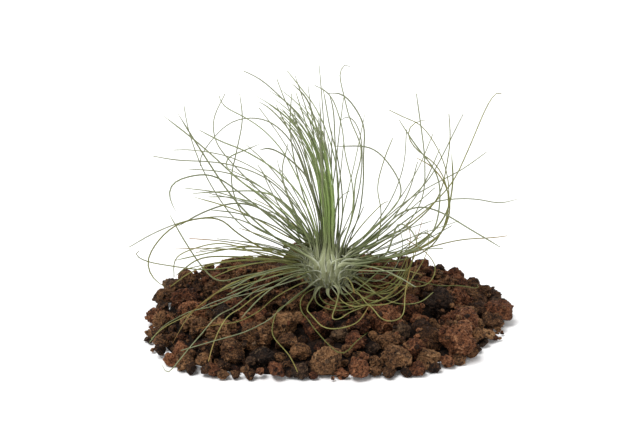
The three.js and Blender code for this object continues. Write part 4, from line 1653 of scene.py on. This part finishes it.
    def slots(self, wished: np.ndarray) -> np.ndarray:
        """Gives each leaf its place on the bulb.

        The places turn by the golden angle from one to the next as they go down. Leaves take them
        nearest pair first, by the angle between the place and the way that the leaf sets out, whose
        elevation is first spread over the places' elevations by rank.

        Args:
            wished: for each leaf, the way that it sets out.

        Returns:
            For each leaf, the azimuth and elevation of its place.
        """
        count = len(wished)
        elevation = np.linspace(*self.slot_elevation, count)
        azimuth = np.arange(count) * 180 * (3 - math.sqrt(5))
        rank = np.argsort(np.argsort(-wished[:, 2]))
        turn = np.degrees(np.arctan2(wished[:, 1], wished[:, 0]))
        cost = 1 - heading(turn, elevation[rank]) @ heading(azimuth, elevation).T
        chosen = np.full(count, -1)
        taken = np.zeros(count, bool)
        for flat in np.argsort(cost, axis=None):
            leaf, slot = divmod(int(flat), count)
            if chosen[leaf] < 0 and not taken[slot]:
                chosen[leaf] = slot
                taken[slot] = True
        return np.stack([azimuth[chosen], elevation[chosen]], -1)

    def sheath(self, azimuth: float, elevation: float) -> np.ndarray:
        """The middle line of a sheath, from inside the bulb up to where the blade leaves it.

        It follows the bulb's meridian, from sheath_span below its place, sunk at first and proud at
        the end. Above the shoulder the meridian is drawn in towards the axis instead, so that the
        inner leaves rise upright beside each other.

        Args:
            azimuth: how far around the bulb its place is.
            elevation: how far above the bulb's waist.

        Returns:
            The line's points.
        """
        top = min(elevation, self.shoulder)
        inner = math.radians(max(elevation, self.shoulder))
        drawn_in = math.cos(inner) / math.cos(math.radians(self.shoulder))
        lowest = max(top - self.sheath_span, self.sheath_lowest)
        up = np.radians(np.linspace(lowest, top, self.sheath_points))
        depth = np.linspace(*self.sheath_depth, self.sheath_points)
        level = self.bulb_radius * np.cos(up) * depth * drawn_in
        tall = np.where(up > 0, self.above, self.below) * np.sin(up) * depth
        turn = math.radians(azimuth)
        return np.stack([level * math.cos(turn), level * math.sin(turn), self.bulb_height + tall], -1)

    def lifted(self, line: np.ndarray, sheath_length: float) -> np.ndarray:
        """Raises a line over the stones, as much as it has to and in long easy slopes.

        Args:
            line: the line.
            sheath_length: how much of it is sheath, which stays.

        Returns:
            The raised line.
        """
        along = distances_along(line)
        ground = self.bed.ground_height(line, self.bed.stones, self.bed.leaf_reach)
        needed = ground + self.clearance - line[:, 2]
        needed[along < sheath_length + self.sheath_hold] = 0
        apart = np.abs(along[:, None] - along)
        rounded = np.sqrt(apart**2 + self.bridge_round**2) - self.bridge_round
        lifts = np.maximum((needed - self.bridge_slope * rounded).max(1), 0)
        weights = np.exp(-((apart / self.bridge_round) ** 2))
        return line + ((weights @ lifts) / weights.sum(1))[:, None] * (0, 0, 1)

    def stationed(self, points: np.ndarray, is_blade: bool) -> tuple[np.ndarray, np.ndarray]:
        """Draws a leaf's middle line through the points of its sheath and what follows.

        Args:
            points: the points, from the inner end of the sheath to the tip.
            is_blade: whether a blade follows, which is eased, is lifted over the stones and has its
                stations closer together near the sheath.

        Returns:
            The line's stations, and how far past the sheath's end each of them lies.
        """
        curve = smooth_line(points, self.curve_steps)
        sheath_length = distances_along(curve)[self.curve_steps * (self.sheath_points - 1)]
        shares = np.linspace(0, 1, self.stations)
        if is_blade:
            curve = self.lifted(eased(curve, self.easing), sheath_length)
            shares = (1 - self.crowding) * shares + self.crowding * shares**2
        along = distances_along(curve)
        stops = along[-1] * shares
        return points_at(curve, along, stops), stops - sheath_length

    def lines(self) -> tuple[np.ndarray, np.ndarray, np.ndarray]:
        """The middle line of every leaf, at the same number of stations.

        Returns:
            The lines, the distance of each station from the end of its sheath, and the elevations of
            the leaves' places on the bulb.
        """
        leaves = self.all_points()
        first = np.array([points[0] for points in leaves]) - (0, 0, self.bulb_height)
        wished = first * (self.root_spread, self.root_spread, 1)
        wished /= np.linalg.norm(wished, axis=1)[:, None]
        places = self.slots(wished)
        turn = self.bract_from + np.arange(self.bracts) * self.bract_turn
        bracts = np.stack([turn, np.linspace(*self.bract_elevation, self.bracts)], -1)
        made = [
            self.stationed(np.concatenate([self.sheath(*place), points]), True)
            for place, points in zip(places, leaves)
        ]
        made += [self.stationed(self.bract(*place), False) for place in bracts]
        lines, distances = (np.array(numbers) for numbers in zip(*made))
        return lines, distances, np.concatenate([places[:, 1], bracts[:, 1]])

    def bract(self, azimuth: float, elevation: float) -> np.ndarray:
        """The points of a short dry scale: a sheath, and a tip that peels away from the bulb.

        Args:
            azimuth: how far around the bulb its place is.
            elevation: how far above the bulb's waist.

        Returns:
            The points.
        """
        beyond = [self.sheath(azimuth, elevation + turn)[-1] for turn in self.bract_turns]
        middle = np.array([0.0, 0.0, self.bulb_height])
        peeled = [(at - middle) * away + middle for at, away in zip(beyond, self.bract_peel)]
        return np.concatenate([self.sheath(azimuth, elevation), peeled])

    @staticmethod
    def outward_sides(lines: np.ndarray, along: np.ndarray) -> np.ndarray:
        """For each station, the unit vector that a leaf's outer side faces.

        It starts away from the plant's axis and is carried along the line, turning as little as it can.

        Args:
            lines: the leaves' lines.
            along: the unit vectors along them.

        Returns:
            The unit vectors, by leaf and station.
        """
        out = lines[:, 0] * (1, 1, 0)
        sides = np.zeros_like(lines)
        for i in range(lines.shape[1]):
            out = out - (out * along[:, i]).sum(-1, keepdims=True) * along[:, i]
            out = out / np.maximum(np.linalg.norm(out, axis=-1, keepdims=True), 1e-9)
            sides[:, i] = out
        return sides

    def tones(self, elevation: np.ndarray, rng: np.random.Generator) -> np.ndarray:
        """How fresh a green each leaf has, from 0 to 1: the higher on the bulb, the fresher.

        Args:
            elevation: how far above the bulb's waist each leaf sits.
            rng: draws the rest.

        Returns:
            A tone for each leaf.
        """
        count = len(elevation)
        young = np.arange(count) < self.young_leaves
        fresh = np.clip(self.least_fresh + elevation / 90, self.least_fresh, 1)
        grown = rng.uniform(*self.grown_tone, count) * fresh
        grown[-self.bracts :] = self.bract_tone
        return np.where(young, rng.uniform(*self.young_tone, count), grown)

    def groups(self) -> tuple[np.ndarray, np.ndarray]:
        """For each leaf, how wide it is in shares of the usual, and how much older than its place.

        Returns:
            The widths, and what is added to the ages.
        """
        drawn, fine = (sum(tuft.count for tuft in tufts) for tufts in (TUFTS, FINE_TUFTS))
        rows = [len(table) for table in (ARCHED, DRAPED, FINE_DRAPED)]
        counts = (self.young_leaves, *rows, drawn, fine, self.bracts)
        return np.repeat(self.group_widths, counts), np.repeat(self.group_aging, counts)

    def ages(
        self, elevation: np.ndarray, aging: np.ndarray, rng: np.random.Generator
    ) -> np.ndarray:
        """How old each leaf looks, from 0 to 1: the lower on the bulb, the older.

        It is (age from - elevation) / age over, plus the group's aging and some noise.

        Args:
            elevation: the elevation of the leaf's place on the bulb.
            aging: how much older its group is.
            rng: draws the noise.

        Returns:
            An age for each leaf.
        """
        noise = rng.normal(0, self.age_noise, size=len(elevation))
        return np.clip((self.age_from - elevation) / self.age_over + aging + noise, 0, 1)

    def leaves_shapes(self) -> list[Shape]:
        """Models the leaves as strips with a channelled section, carried along their middle lines.

        Across the strip, a point x from -1 to 1 lies x * half width aside and sag * x squared
        towards the plant's axis, where sag hugs the bulb on the sheath and makes a channel of the
        blade.

        Returns:
            The leaves, and the short scales of the bulb.
        """
        lines, distances, elevation = self.lines()
        rng = np.random.default_rng(self.detail_seed)
        count = len(lines)
        blade = np.maximum(distances, 0)
        share = blade / distances[:, -1:]
        along = np.gradient(lines, axis=1)
        along /= np.linalg.norm(along, axis=-1, keepdims=True)
        out = self.outward_sides(lines, along)
        aside = np.cross(along, out)
        twists = rng.uniform(-self.twist, self.twist, size=(count, 1))
        twist = (twists * share**self.twist_power)[..., None]
        out, aside = (
            out * np.cos(twist) + aside * np.sin(twist),
            aside * np.cos(twist) - out * np.sin(twist),
        )
        width, aging = self.groups()
        wide = rng.uniform(*self.leaf_width, size=(count, 1)) * width[:, None]
        low = np.cos(np.radians(np.maximum(elevation, 0)))[:, None] ** 2
        strip = self.strip
        half = strip.half_width(blade, share, low, width[:, None], wide)
        hug, channel = half**2 / (2 * self.bulb_radius), strip.channel * half
        sag = channel + (hug - channel) * strip.on_bulb(blade)
        thick = strip.thick + strip.thick_by_width * half - strip.thin_by_share * share
        angle = 2 * math.pi * (np.arange(self.corners) + 0.5) / self.corners
        x, n = np.cos(angle), np.sin(angle)
        beside = half[..., None] * x
        outward = thick[..., None] * n - sag[..., None] * x**2
        points = (
            lines[:, :, None]
            + aside[:, :, None] * beside[..., None]
            + out[:, :, None] * outward[..., None]
        )
        full = np.ones((count, self.stations, self.corners))
        marks = {
            "from_base": distances[..., None] * full,
            "share": share[..., None] * full,
            "across": full * x,
            "under": full * (n > 0),
            "tone": self.tones(elevation, rng)[:, None, None] * full,
            "age": self.ages(elevation, aging, rng)[:, None, None] * full,
        }
        return [
            Shape(
                points[part].reshape(-1, 3),
                self.strip_faces(len(points[part])),
                {name: numbers[part].ravel() for name, numbers in marks.items()},
            )
            for part in (slice(0, -self.bracts), slice(-self.bracts, None))
        ]

    def strip_faces(self, count: int) -> list[np.ndarray]:
        """The faces of some strips: four-cornered ones between stations, and a cap at each end.

        Args:
            count: how many strips.

        Returns:
            The four-cornered faces, and the caps.
        """
        ring = np.arange(self.corners)
        after = (ring + 1) % self.corners
        row = (np.arange(self.stations - 1) * self.corners)[:, None]
        ends = [row + ring, row + after, row + after + self.corners, row + ring + self.corners]
        quads = np.stack(ends, -1)
        each = self.stations * self.corners
        starts = (np.arange(count) * each)[:, None, None]
        caps = np.stack([ring[::-1], ring + each - self.corners])
        sides = quads.reshape(-1, 4) + starts
        return [sides.reshape(-1, 4), (caps + starts).reshape(-1, self.corners)]

    def core_shape(self, around: int = 48, rows: int = 24) -> Shape:
        """The bulb's flesh between the sheaths: a ball with a flatter top, a little inside them.

        Args:
            around: how many points a ring has.
            rows: how many steps lead down it.

        Returns:
            The core.
        """
        above, below = self.core_top * self.above, self.core_share * self.below
        up = np.linspace(math.pi / 2, -math.pi / 2, rows + 1)[1:-1]
        level = self.core_share * self.bulb_radius * np.cos(up)
        height = self.bulb_height + np.where(up > 0, above, below) * np.sin(up)
        first, last = (0, 0, self.bulb_height + above), (0, 0, self.bulb_height - below)
        core = ring_surface(turned(level, height, around), first, last)
        return core.marked(from_base=1.0, share=0.0, across=0.2, under=1.0, tone=0.3, age=0.2)

    def build(self) -> None:
        """Makes the leaves, the bulb's scales and its core."""
        shapes = zip(("leaves", "bulb_scales", "bulb_core"), (*self.leaves_shapes(), self.core_shape()))
        for name, shape in shapes:
            ride(shape.piece(name, Leaf()), "leaf", PLANT_NODE)


# ---------------------------------------------------------------- stage


@dataclass(frozen=True)
class Studio:
    """The floor, the light and the camera, which stands where the picture was taken from."""

    eye: tuple[float, float, float] = (-4.35, -565.6, 227.3)
    pitch: float = 17.17
    lens: float = 67.0
    sensor: float = 36.0
    floor_reach: float = 4000.0
    floor_flat: float = 1200.0
    floor_rim: float = 2600.0
    floor_drop: float = -0.02
    key_from: tuple[float, float, float] = (-0.4, -0.35, 1.0)
    key_softness: float = 28.0
    key_strength: float = 2.6
    sky: float = 0.55

    def floor(self, around: int = 96, rings: int = 48) -> None:
        """A wide pale floor, a hair below the stones, whose far rim curves up all around.

        Its height is rim height * ((radius - flat) / (reach - flat)) squared beyond the flat.

        Args:
            around: how many points a ring has.
            rings: how many rings.
        """
        radius = np.linspace(0, self.floor_reach, rings + 1)[1:]
        beyond = np.maximum(0, radius - self.floor_flat) / (self.floor_reach - self.floor_flat)
        height = self.floor_rim * beyond**2 + self.floor_drop
        floor = ring_surface(turned(radius, height, around), (0, 0, self.floor_drop))
        floor.piece("floor", Paper())

    def lights(self) -> None:
        """A wide soft light from above, a little to the left and the front, and an even white sky."""
        lamp = bpy.data.lights.new("key", "SUN")
        lamp.angle = math.radians(self.key_softness)
        lamp.energy = self.key_strength
        key = bpy.data.objects.new("key", lamp)
        key.location = self.key_from
        key.rotation_euler = key.location.to_track_quat("Z", "Y").to_euler()
        bpy.context.scene.collection.objects.link(key)
        world = bpy.data.worlds.new("sky")
        world.use_nodes = True
        background = world.node_tree.nodes["Background"]
        background.inputs["Color"].default_value = (1, 1, 1, 1)
        background.inputs["Strength"].default_value = self.sky
        bpy.context.scene.world = world

    def camera(self) -> None:
        """A camera level from side to side, looking along +Y and a little down."""
        seen = bpy.data.cameras.new("camera")
        seen.lens = self.lens
        seen.sensor_width = self.sensor
        seen.sensor_fit = "HORIZONTAL"
        seen.clip_start = 0.01
        seen.clip_end = 20.0
        made = bpy.data.objects.new("camera", seen)
        made.location = [length * MM for length in self.eye]
        made.rotation_euler = (math.radians(90 - self.pitch), 0, 0)
        bpy.context.scene.collection.objects.link(made)
        bpy.context.scene.camera = made

    def build(self) -> None:
        """Sets the stage and shows colours as they are."""
        self.floor()
        self.lights()
        self.camera()
        bpy.context.scene.view_settings.view_transform = "Standard"


def main() -> None:
    """Builds the stage, the gravel and the plant."""
    logging.basicConfig(level=logging.INFO, format="%(name)s: %(message)s")
    Studio().build()
    bed = LavaBed()
    bed.build()
    Rosette(bed).build()


if __name__ == "__main__":
    main()
